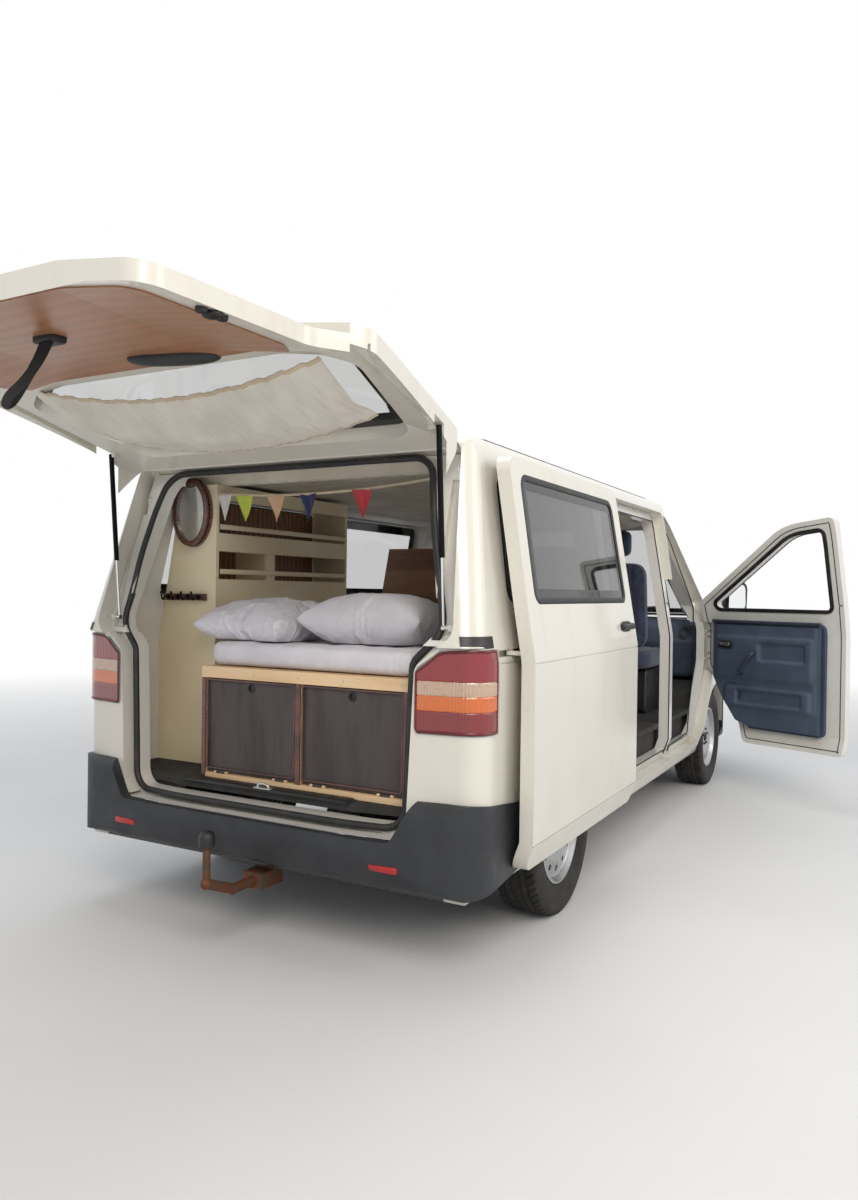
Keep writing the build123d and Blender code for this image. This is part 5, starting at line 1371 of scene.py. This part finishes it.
class CAMPER_OT_doors(bpy.types.Operator):
    """Dress the doors: inner cards with pockets, levers, handles, mirrors, glass runs and the slide's rail"""

    bl_idname = "camper.doors"
    bl_label = "Doors"

    def execute(self, context):
        for word, moved, body in (("left", np.asarray, "left_door"), ("right", open_door, "right_door")):
            self.card(word, moved, body)
            self.edges(word, moved, body)
        self.slide()
        return {"FINISHED"}

    def card(self, word, moved, body):
        """Inner card with raised fields and two sunk pockets, its ledge, lever, grip and speaker.

        The relief is worked out on a grid over the card: it rises or falls by smooth steps inside rectangles.
        """
        inner = DOOR_INNER
        x = np.linspace(2.0, 2.775, 150)[:, None]
        s = np.linspace(0, 1, 150)[None, :]
        low = np.interp(x, (2.0, 2.50, 2.60, 2.70, 2.775), (0.485, 0.485, 0.52, 0.66, 0.80))
        high = np.interp(x, (2.0, 2.775), (1.172, 1.165))
        z = low + (high - low) * s

        def rise(value, edge, soft):
            """Smooth step from 0 to 1 at an edge."""
            return 1 / (1 + np.exp(-(value - edge) / soft))

        def inside(x0, x1, z0, z1, soft):
            """1 inside a rectangle of the card and 0 outside it, with soft edges."""
            return rise(x, x0, soft) * (1 - rise(x, x1, soft)) * rise(z, z0, soft) * (1 - rise(z, z1, soft))

        raised = 0.003 + 0.008 * inside(2.03, 2.75, 0.61, 1.16, 0.004)
        raised = raised + 0.013 * inside(2.05, 2.74, 0.80, 1.08, 0.005)
        raised = raised + 0.016 * inside(2.06, 2.66, 0.615, 0.745, 0.005)
        sunk = 0.018 * inside(2.10, 2.42, 0.93, 1.04, 0.004) + 0.020 * inside(2.12, 2.58, 0.64, 0.725, 0.004)
        ends = np.minimum(np.arange(150), np.arange(150)[::-1])[:, None] / 4
        rim = np.minimum(np.minimum(s, 1 - s) * 40, ends)
        depth = np.clip(raised - sunk, 0.002, 0.04) * np.clip(rim, 0, 1) ** 0.5 + 0.0006
        front = np.stack([x * np.ones_like(s), inner - depth, z], -1)
        back = np.stack([x * np.ones_like(s), np.full_like(z, inner - 0.0003), z], -1)
        Shape().shell(moved(front), moved(back)).object("door_card_" + word, "cab_blue", body)
        ledge = np.stack([np.linspace(2.0, 2.775, 60), np.full(60, inner - 0.010), np.full(60, 1.178)], -1)
        section = outline(
            ((-0.010, -0.010, 0.004), (0.014, -0.010, 0.006), (0.014, 0.012, 0.008), (-0.010, 0.012, 0.004)),
            4,
        )
        Shape().grid(moved(along(ledge, section)), False, True, True).object(
            "door_ledge_" + word, "cab_blue_dark", body
        )
        cup = pebble((2.66, inner - 0.030, 1.025), (0.115, 0.016, 0.052), 0.5, 16, 30)
        Shape().grid(moved(cup), False, True).object("door_lever_cup_" + word, "black_plastic", body)
        pull = pebble((2.665, inner - 0.041, 1.027), (0.080, 0.010, 0.022), 0.45, 14, 26)
        Shape().grid(moved(pull), False, True).object("door_lever_" + word, "rod_chrome", body)
        bends = (
            (2.44, 0.030, 0.985), (2.45, 0.062, 0.965), (2.50, 0.066, 0.900),
            (2.53, 0.062, 0.850), (2.535, 0.030, 0.835),
        )
        route = curve_through([(a, inner - out, up) for a, out, up in bends], 50)
        grip = along(route, ring(0.013, 14, 0.8), (0, 1, 0))
        Shape().grid(moved(grip), False, True, True).object("door_grip_" + word, "cab_blue_dark", body)
        speaker = Shape()
        for radius in (0.012, 0.026, 0.040, 0.054, 0.068):
            circle = ring(radius, 48)
            path = np.stack([2.62 + circle[:, 0], np.full(48, inner - 0.0125), 0.70 + circle[:, 1]], -1)
            speaker.grid(moved(along(path, ring(0.0024, 6), (0, -1, 0), True)), True, True)
        speaker.object("door_speaker_" + word, "black_plastic", body)

    def edges(self, word, moved, body):
        """Glass runs outside and inside, weatherstrip, outer handle and mirror glass."""
        run = evenly(grown(outline(front_window_rows, 8), 0.004), 220)
        runs = (
            ("door_glass_run_", BESIDE, (0, -1, 0), 0.009, 0.004),
            ("door_inner_run_", CABIN, (0, 1, 0), 0.012, 0.006),
        )
        for name, start, way, half, high in runs:
            path, up = lay("front_door_left_glass front_door_left", np.insert(run, 1, start, axis=1), way)
            section = ((-half, -0.001), (half, -0.001), (half, high), (-half, high))
            Shape().grid(moved(along(path, section, up, True)), True, True).object(
                name + word, "rubber", body
            )
        line = evenly(grown(outline(front_door_rows, 8), -0.030), 260)
        path, up = lay("front_door_left", np.insert(line, 1, CABIN, axis=1), (0, 1, 0))
        weather = along(path, ring(0.003, 8), up, True)
        Shape().grid(moved(weather), True, True).object("door_weatherstrip_" + word, "rubber", body)
        for k, (made, finish) in enumerate(self.handle(1.965, 1.12, "front_door_left")):
            Shape().grid(moved(made), False, True).object(f"door_handle_{k}_{word}", finish, body)
        face = Shape().grid(moved(self.mirror_face()), False, True, True)
        face.object("door_mirror_glass_" + word, "mirror_glass", body)

    def mirror_face(self):
        """Looking glass set in the mirror head's rear face, slightly domed."""
        flat = outline(
            ((0.965, 1.250, 0.03), (1.165, 1.262, 0.035), (1.160, 1.430, 0.04), (0.975, 1.425, 0.03)), 6
        )
        centre = flat.mean(0)
        starts = np.insert(flat, 0, 2.0, axis=1)
        face, up = lay("front_door_left_mirror", starts, (1, 0, 0))
        x = face[:, 0].min() - 0.0015
        rings = [(1.0, 0.0012), (1.0, 0.0), (0.97, -0.0006), (0.6, -0.0016), (0.2, -0.002)]
        return np.stack(
            [np.insert(centre + (flat - centre) * share, 0, x + at, axis=1) for share, at in rings]
        )

    def handle(self, x, z, node):
        """Outer handle: a shallow cup, a grip over it and the grip's two feet, laid on the door's skin."""
        where, up = lay(node, np.array([[x + 0.06, 1.6, z], [x + 0.15, 1.6, z]]), (0, -1, 0))
        y = where[0, 1]
        cup = pebble((x + 0.06, y, z), (0.13, 0.010, 0.052), 0.6, 14, 28)
        grip = pebble((x + 0.06, y + 0.016, z + 0.004), (0.155, 0.016, 0.024), 0.5, 14, 28)
        ends = pebble((x - 0.008, y + 0.008, z + 0.004), (0.026, 0.020, 0.028), 0.5, 12, 20)
        far = pebble((x + 0.128, y + 0.008, z + 0.004), (0.026, 0.020, 0.028), 0.5, 12, 20)
        return ((cup, "rubber"), (grip, "black_plastic"), (ends, "black_plastic"), (far, "black_plastic"))

    def slide(self):
        """Handle, rail and weatherstrip of the sliding door, where it stands open on the right."""
        where, up = lay("sliding_door", np.array([[0.428, -1.6, 1.202]]), (0, 1, 0))
        y = where[0, 1]
        cup = Shape().grid(pebble((0.428, y, 1.202), (0.15, 0.008, 0.055), 0.6, 14, 28), False, True)
        cup.object("slide_handle_cup", "rubber", "van_body")
        grip = Shape()
        pieces = (
            (0.428, 0.017, (0.165, 0.016, 0.026)),
            (0.358, 0.008, (0.026, 0.022, 0.030)),
            (0.498, 0.008, (0.026, 0.022, 0.030)),
        )
        for x, out, size in pieces:
            grip.grid(pebble((x, y - out, 1.205), size, 0.5, 14, 28), False, True)
        grip.object("slide_handle", "black_plastic", "van_body")
        rail = np.stack([np.linspace(-0.60, 0.50, 80), np.full(80, -1.6), np.full(80, 1.143)], -1)
        path, up = lay("body_side_right", rail, (0, 1, 0))
        section = (
            (-0.018, 0.0004), (0.018, 0.0004), (0.018, 0.004), (0.006, 0.004),
            (0.006, 0.002), (-0.006, 0.002), (-0.006, 0.004), (-0.018, 0.004),
        )
        Shape().carry(path, section, up).object("slide_rail", "black_metal", "van_body")
        edge = evenly(grown(outline(slid(sliding_door_rows), 8), -0.018), 260)
        path, up = lay("sliding_door", np.insert(edge, 1, -CABIN, axis=1), (0, -1, 0))
        Shape().carry(path, ring(0.007, 8), up, True).object("slide_weatherstrip", "rubber", "van_body")


class CAMPER_OT_rear(bpy.types.Operator):
    """Fit the sill cover and striker, the bumper's step pad and the tow ball's cap"""

    bl_idname = "camper.rear"
    bl_label = "Rear sill and bumper"

    def execute(self, context):
        y = np.linspace(-0.40, 0.40, 160)[:, None]
        x = np.linspace(-0.886, -0.815, 26)[None, :]
        starts = np.stack(np.broadcast_arrays(x, y, 0.9), -1)
        points, normal = lay("rear_frame rear_bumper floor_pan", starts, (0, 0, -1))
        level = np.maximum.accumulate(points[..., 2][:, ::-1], axis=1)[:, ::-1]
        level = np.minimum(level, np.median(level) + 0.004)
        rib = 0.0016 * (np.sin(2 * np.pi * y / 0.012) > 0)
        across = np.clip(np.minimum(np.arange(26), np.arange(26)[::-1]) / 2.5, 0, 1)
        lengthwise = np.clip(np.minimum(np.arange(160), np.arange(160)[::-1]) / 3, 0, 1)
        fade = across[None, :] * lengthwise[:, None]
        top = np.stack([x * np.ones_like(y), y * np.ones_like(x), level + 0.002 + (0.007 + rib) * fade], -1)
        under = top.copy()
        under[..., 2] = level + 0.0004
        cover = Shape().grid(np.concatenate([top, under[:, ::-1]], 1), False, True, True)
        cover.object("sill_cover", "black_plastic", "van_body")
        top_z = float(top[..., 2].max())
        place = -0.872
        bends = ((-0.024, -0.006), (-0.024, 0.010), (0.0, 0.015), (0.024, 0.010), (0.024, -0.006))
        loop = curve_through([(place, wide, top_z + up) for wide, up in bends], 40)
        striker = Shape().carry(loop, ring(0.0052, 12), (1, 0, 0))
        striker.grid(pebble((place, 0, top_z - 0.001), (0.026, 0.085, 0.006), 0.3, 12, 30), False, True)
        striker.object("sill_striker", "steel", "van_body")
        across = np.linspace(-0.62, 0.62, 240)[:, None]
        back = np.linspace(-0.985, -0.925, 22)[None, :]
        starts = np.stack(np.broadcast_arrays(back, across, 0.9), -1)
        points, normal = lay("rear_bumper", starts, (0, 0, -1))
        tread = 0.0012 * (np.sin(2 * np.pi * back / 0.0125) > 0.1)
        top = points + (0, 0, 0.0012)
        top[..., 2] += tread
        under = points + (0, 0, 0.0003)
        step = Shape().grid(np.concatenate([top, under[:, ::-1]], 1), False, True, True)
        step.object("bumper_tread", "dark_plastic", "van_body")
        profile = (
            (0.0, 0.034), (0.012, 0.0335), (0.022, 0.029), (0.0275, 0.019), (0.0288, 0.0),
            (0.0285, -0.022), (0.0270, -0.022), (0.0265, 0.0), (0.0263, 0.004),
        )
        cap = Shape().grid(spin(profile, (-1.18, 0, 0.455), (0, 0, 1), 40), False, True)
        cap.object("tow_ball_cap", "black_plastic", "van_body")
        return {"FINISHED"}


class CAMPER_OT_cab(bpy.types.Operator):
    """Pad the front seats, and fit the instrument hood, vents, gear lever, wipers and front blank plate"""

    bl_idname = "camper.cab"
    bl_label = "Cab and front"

    def execute(self, context):
        slant = math.atan2(0.07, 0.58)
        cos, sin = math.cos(slant), math.sin(slant)
        back = np.array(((cos, 0, sin), (0, 1, 0), (-sin, 0, cos))).T
        level = np.eye(3)
        for side, word in SIDES:
            middle_y = side * 0.445
            self.pad("seat_cushion_" + word, (2.372, middle_y, 0.928), (0.562, 0.498, 0.112), level, 6, 0.010)
            self.pad("seat_back_" + word, (2.143, middle_y, 1.276), (0.106, 0.458, 0.576), back, 6, 0.008)
            self.pad("seat_head_" + word, (2.098, middle_y, 1.682), (0.082, 0.250, 0.172), level, 5, 0.006)
            base = Shape()
            flat = outline(
                ((-0.205, 0, 0.03), (0.205, 0, 0.03), (0.19, 0.282, 0.03), (-0.19, 0.282, 0.03)), 4
            )
            flat = flat + (2.38, 0.5765)
            base.plate(flat, middle_y - 0.212, middle_y + 0.212, 1, 0.006)
            for offset in (-0.06, 0.06):
                route = np.array(((2.118, middle_y + offset, 1.535), (2.104, middle_y + offset, 1.625)))
                base.carry(evenly(route, 6, False), ring(0.0065, 12), (1, 0, 0))
            base.object("seat_frame_" + word, "black_plastic", "van_body", ("front_seats",))
        self.dash()
        self.front()
        return {"FINISHED"}

    def pad(self, name, centre, size, turn, square, cap):
        """Pad: a superellipsoid with exponent 2/square and sewn channels, sunk as narrow bells across it."""
        made = pebble((0, 0, 0), (1, 1, 1), 2.0 / square, 60, 96)
        across = made[..., 1] * 2
        grid = made * np.array(size)
        thin = int(np.argmin(size))
        groove = sum(np.exp(-(((across - at) / 0.035) ** 2)) for at in (-0.62, 0.62))
        ribs = 0.5 * np.abs(np.cos(np.pi * 5 * across)) * (np.abs(across) < 0.55)
        face = np.sign(grid[..., thin])
        grid[..., thin] -= face * (0.006 * groove + 0.0025 * (1 - ribs)) * (np.abs(made[..., thin]) > 0.32)
        grid = grid @ np.asarray(turn).T + np.array(centre)
        piece = Shape().grid(grid, False, True).object(name, "seat_cloth", "van_body", ("front_seats",))
        swollen(piece, cap, 0.0, 1.5)
        smoothed(piece)

    def dash(self):
        """Instrument hood, four round vents, centre stack and gear lever."""
        hood = Shape().grid(pebble((3.02, 0.42, 1.172), (0.20, 0.42, 0.075), 0.6, 20, 40), False, True)
        hood.object("instrument_hood", "cab_blue_dark", "van_body")
        vents = Shape()
        for y in (-0.72, -0.10, 0.10, 0.72):
            for radius in (0.042, 0.030, 0.018):
                circle = ring(radius, 40)
                start = np.column_stack([np.full(40, 2.4), y + circle[:, 0], 1.075 + circle[:, 1]])
                path, up = lay("dashboard", start, (1, 0, 0))
                vents.carry(path, ring(0.004, 8), up, True)
        vents.object("dash_vents", "black_plastic", "van_body")
        stack = Shape()
        for z, high in ((0.985, 0.05), (0.915, 0.04), (0.855, 0.035)):
            flat = panel(-0.09, 0.09, z - high / 2, z + high / 2, 0.008, 4)
            path, up = lay("dashboard", np.insert(evenly(flat, 80), 0, 2.4, axis=1), (1, 0, 0))
            stack.carry(path, ring(0.004, 8), up, True)
        stack.object("dash_stack", "black_plastic", "van_body")
        route = curve_through(((2.97, -0.02, 0.80), (2.93, -0.02, 0.86), (2.87, -0.02, 0.93)), 20)
        lever = Shape().carry(route, ring(0.008, 12), (0, 1, 0))
        lever.grid(pebble((2.865, -0.02, 0.945), (0.05, 0.045, 0.06), 0.8, 16, 26), False, True)
        lever.object("gear_lever", "black_plastic", "van_body")

    def front(self):
        """Screen wipers parked on the glass, the front's blank plate and the roof's two drip channels."""
        for k, (y0, y1) in enumerate(((0.60, 0.02), (0.02, -0.56))):
            wiper = Shape()
            start = np.column_stack(
                [np.full(30, AHEAD), np.linspace(y0, y1, 30), np.linspace(1.205, 1.245, 30)]
            )
            path, up = lay("fixed_glass", start, (-1, 0, 0), 0.018)
            wiper.carry(path, ring(0.006, 8, 0.6), up)
            blade, up = lay("fixed_glass", start + (0, 0, 0.02), (-1, 0, 0), 0.005)
            wiper.carry(blade, ((-0.003, -0.004), (0.003, -0.004), (0.005, 0.007), (-0.005, 0.007)), up)
            wiper.object(f"screen_wiper_{k}", "black_plastic", "van_body")
        flat = panel(-0.26, 0.26, 0.445, 0.555, 0.008, 4)
        points, up = lay("front_bumper", np.insert(flat, 0, AHEAD, axis=1), (-1, 0, 0))
        face = min(points[:, 0].max(), 3.882)
        blank = Shape().plate(flat, face + 0.0005, face + 0.0035, 0, 0.0006)
        blank.object("front_blank_plate", "plate_white", "van_body")
        for side, word in SIDES:
            start = np.column_stack(
                [np.linspace(-0.55, 2.35, 160), np.full(160, side * 0.735), np.full(160, ABOVE)]
            )
            path, up = lay("roof_panel body_side_left body_side_right", start, (0, 0, -1))
            strip = Shape().carry(
                path, ((-0.008, -0.001), (0.008, -0.001), (0.006, 0.0035), (-0.006, 0.0035)), up
            )
            strip.object("roof_strip_" + word, "rubber", "van_body")


class CAMPER_OT_stage(bpy.types.Operator):
    """Lay the pale floor, set the soft lights and put the camera where the photograph was taken"""

    bl_idname = "camper.stage"
    bl_label = "Stage"

    def execute(self, context):
        scene = context.scene
        scene.view_settings.view_transform = "Standard"
        side = 60.0
        mesh = bpy.data.meshes.new("floor")
        corners = [(-side, -side, 0), (side, -side, 0), (side, side, 0), (-side, side, 0)]
        mesh.from_pydata(corners, [], [(0, 1, 2, 3)])
        floor = bpy.data.objects.new("floor", mesh)
        context.collection.objects.link(floor)
        mesh.materials.append(self.ground())
        self.light(context)
        self.camera(context)
        return {"FINISHED"}

    def ground(self):
        """Pale floor that fades with its distance from the van into the same white as the background."""
        ground = Finish("pale_floor", (0.72, 0.71, 0.69), 0.9)
        clouds = ground.range(ground.noise(0.8, 4.0), 0.3, 0.7)
        ground.put("Base Color", ground.mix(clouds, (0.70, 0.69, 0.67), (0.74, 0.73, 0.71)))
        reach = ground.node("ShaderNodeVectorMath", [(0, ground.place())], operation="LENGTH").outputs[
            "Value"
        ]
        share = ground.range(reach, 4.0, 11.0)
        rays = ground.node("ShaderNodeLightPath").outputs
        mirrored_rays = ground.sum("MAXIMUM", rays["Is Glossy Ray"], rays["Is Transmission Ray"])
        seen = ground.sum("MAXIMUM", rays["Is Camera Ray"], mirrored_rays)
        white = ground.node(
            "ShaderNodeEmission", [("Color", (1.0, 1.0, 1.0, 1.0)), ("Strength", 1.0)]
        ).outputs[0]
        inputs = [(0, ground.sum("MULTIPLY", share, seen)), (1, ground.shader.outputs[0]), (2, white)]
        both = ground.node("ShaderNodeMixShader", inputs)
        ground.tree.links.new(both.outputs[0], ground.tree.nodes["Material Output"].inputs["Surface"])
        return ground.material

    def light(self, context):
        """World that is pale blue to the van and white to the camera and in mirrors, and three soft lamps."""
        scene = context.scene
        world = bpy.data.worlds.new("studio")
        scene.world = world
        world.use_nodes = True
        tree = world.node_tree
        tree.nodes.clear()
        path = tree.nodes.new("ShaderNodeLightPath")
        seen, either = tree.nodes.new("ShaderNodeMath"), tree.nodes.new("ShaderNodeMath")
        seen.operation = either.operation = "MAXIMUM"
        tree.links.new(path.outputs["Is Camera Ray"], seen.inputs[0])
        tree.links.new(path.outputs["Is Glossy Ray"], seen.inputs[1])
        tree.links.new(seen.outputs[0], either.inputs[0])
        tree.links.new(path.outputs["Is Transmission Ray"], either.inputs[1])
        plain = tree.nodes.new("ShaderNodeBackground")
        plain.inputs["Color"].default_value = (0.86, 0.91, 1.0, 1.0)
        plain.inputs["Strength"].default_value = 0.62
        white = tree.nodes.new("ShaderNodeBackground")
        white.inputs["Color"].default_value = (1.0, 1.0, 1.0, 1.0)
        choice = tree.nodes.new("ShaderNodeMixShader")
        tree.links.new(either.outputs[0], choice.inputs[0])
        tree.links.new(plain.outputs[0], choice.inputs[1])
        tree.links.new(white.outputs[0], choice.inputs[2])
        result = tree.nodes.new("ShaderNodeOutputWorld")
        tree.links.new(choice.outputs[0], result.inputs[0])

        lamps = (
            ("key_light", (-7.0, -4.5, 6.0), (-0.5, 0.0, 1.0), 4.5, 400.0, (1.0, 0.95, 0.87)),
            ("side_light", (0.5, -8.0, 4.0), (0.5, 0.0, 1.0), 5.0, 170.0, (1.0, 0.97, 0.93)),
            ("top_light", (0.0, 1.0, 8.0), (0.0, 0.0, 1.0), 6.0, 170.0, (0.95, 0.97, 1.0)),
        )
        for name, at, target, size, power, colour in lamps:
            light = bpy.data.lights.new(name, "AREA")
            light.shape = "DISK"
            light.size = size
            light.energy = power
            light.color = colour
            lamp = bpy.data.objects.new(name, light)
            context.collection.objects.link(lamp)
            lamp.location = at
            lamp.rotation_mode = "QUATERNION"
            lamp.rotation_quaternion = (Vector(target) - Vector(at)).to_track_quat("-Z", "Y")

    def camera(self, context):
        """Camera at the photograph's place, turned by its yaw, pitch and roll."""
        yaw, pitch, roll = CAMERA_TURN
        look = Vector((math.cos(yaw) * math.cos(pitch), math.sin(yaw) * math.cos(pitch), math.sin(pitch)))
        level = Vector((math.sin(yaw), -math.cos(yaw), 0))
        above = level.cross(look)
        right = level * math.cos(roll) + above * math.sin(roll)
        above = above * math.cos(roll) - level * math.sin(roll)
        camera = bpy.data.cameras.new("camera")
        camera.sensor_fit = "AUTO"
        camera.sensor_width = SENSOR
        camera.lens = SENSOR * CAMERA_FOCUS / PICTURE_HEIGHT
        holder = bpy.data.objects.new("camera", camera)
        context.collection.objects.link(holder)
        turn = Matrix((right, above, -look)).transposed().to_4x4()
        holder.matrix_world = Matrix.Translation(Vector(CAMERA_AT) - Vector(middle)) @ turn
        camera.clip_end = 200
        context.scene.camera = holder


# the camera's place, its yaw, pitch and roll in radians, and its focal length for a picture of that height
CAMERA_AT = (-3.57, -2.21, 1.351)
CAMERA_TURN = (0.504, -0.009, 0.013)
CAMERA_FOCUS = 888.6
PICTURE_HEIGHT = 1200
SENSOR = 36.0
operators = (
    CAMPER_OT_finishes, CAMPER_OT_seals, CAMPER_OT_lamps, CAMPER_OT_tailgate, CAMPER_OT_bedding,
    CAMPER_OT_interior, CAMPER_OT_wheels, CAMPER_OT_doors, CAMPER_OT_rear, CAMPER_OT_cab, CAMPER_OT_stage,
)


class CamperSizes(bpy.types.PropertyGroup):
    """Lengths that a user may change before the steps are run"""

    seal_width: bpy.props.FloatProperty(
        name="Opening seal", description="Width of the rubber round the tailgate opening", default=0.027,
        min=0.01, unit="LENGTH", subtype="DISTANCE",
    )
    curtain_gather: bpy.props.FloatProperty(
        name="Curtain gather", description="Height of the curtain's gathers", default=0.006, min=0.0,
        unit="LENGTH", subtype="DISTANCE",
    )
    pillow_swell: bpy.props.FloatProperty(
        name="Pillow swell", description="Furthest that the simulation moves a point of a pillow",
        default=0.028, min=0.0, unit="LENGTH", subtype="DISTANCE",
    )
    tread_depth: bpy.props.FloatProperty(
        name="Tread depth", description="Depth of the tyre's grooves", default=0.008, min=0.0, unit="LENGTH",
        subtype="DISTANCE",
    )


class CamperColours(bpy.types.PropertyGroup):
    """Colours that a user may change before the steps are run"""

    body: bpy.props.FloatVectorProperty(
        name="Body paint", description="Colour of the outer paint", default=(0.70, 0.665, 0.58), min=0.0,
        max=1.0, subtype="COLOR",
    )
    bedding: bpy.props.FloatVectorProperty(
        name="Bedding", description="Colour of the sheet and the pillows", default=(0.72, 0.69, 0.73),
        min=0.0, max=1.0, subtype="COLOR",
    )
    flaps: bpy.props.FloatVectorProperty(
        name="Bed flaps", description="Colour of the flaps under the bed", default=(0.062, 0.046, 0.045),
        min=0.0, max=1.0, subtype="COLOR",
    )


class CAMPER_PT_panel(bpy.types.Panel):
    """Lists the dressing's steps"""

    bl_idname = "CAMPER_PT_panel"
    bl_label = "Camper van"
    bl_space_type = "VIEW_3D"
    bl_region_type = "UI"
    bl_category = "Camper"

    def draw(self, context):
        for group in (context.scene.camper_sizes, context.scene.camper_colours):
            for key in group.__annotations__:
                self.layout.prop(group, key)
        for made in operators:
            self.layout.operator(made.bl_idname)


def register():
    """Adds the classes to Blender."""
    for made in (CamperSizes, CamperColours, *operators, CAMPER_PT_panel):
        bpy.utils.register_class(made)
    bpy.types.Scene.camper_sizes = bpy.props.PointerProperty(type=CamperSizes)
    bpy.types.Scene.camper_colours = bpy.props.PointerProperty(type=CamperColours)


def unregister():
    """Takes the classes out of Blender again."""
    del bpy.types.Scene.camper_sizes
    del bpy.types.Scene.camper_colours
    for made in reversed((CamperSizes, CamperColours, *operators, CAMPER_PT_panel)):
        bpy.utils.unregister_class(made)


def main():
    """Runs every step in order."""
    register()
    for made in operators:
        group, step = made.bl_idname.split(".")
        getattr(getattr(bpy.ops, group), step)()


if __name__ == "__main__":
    main()
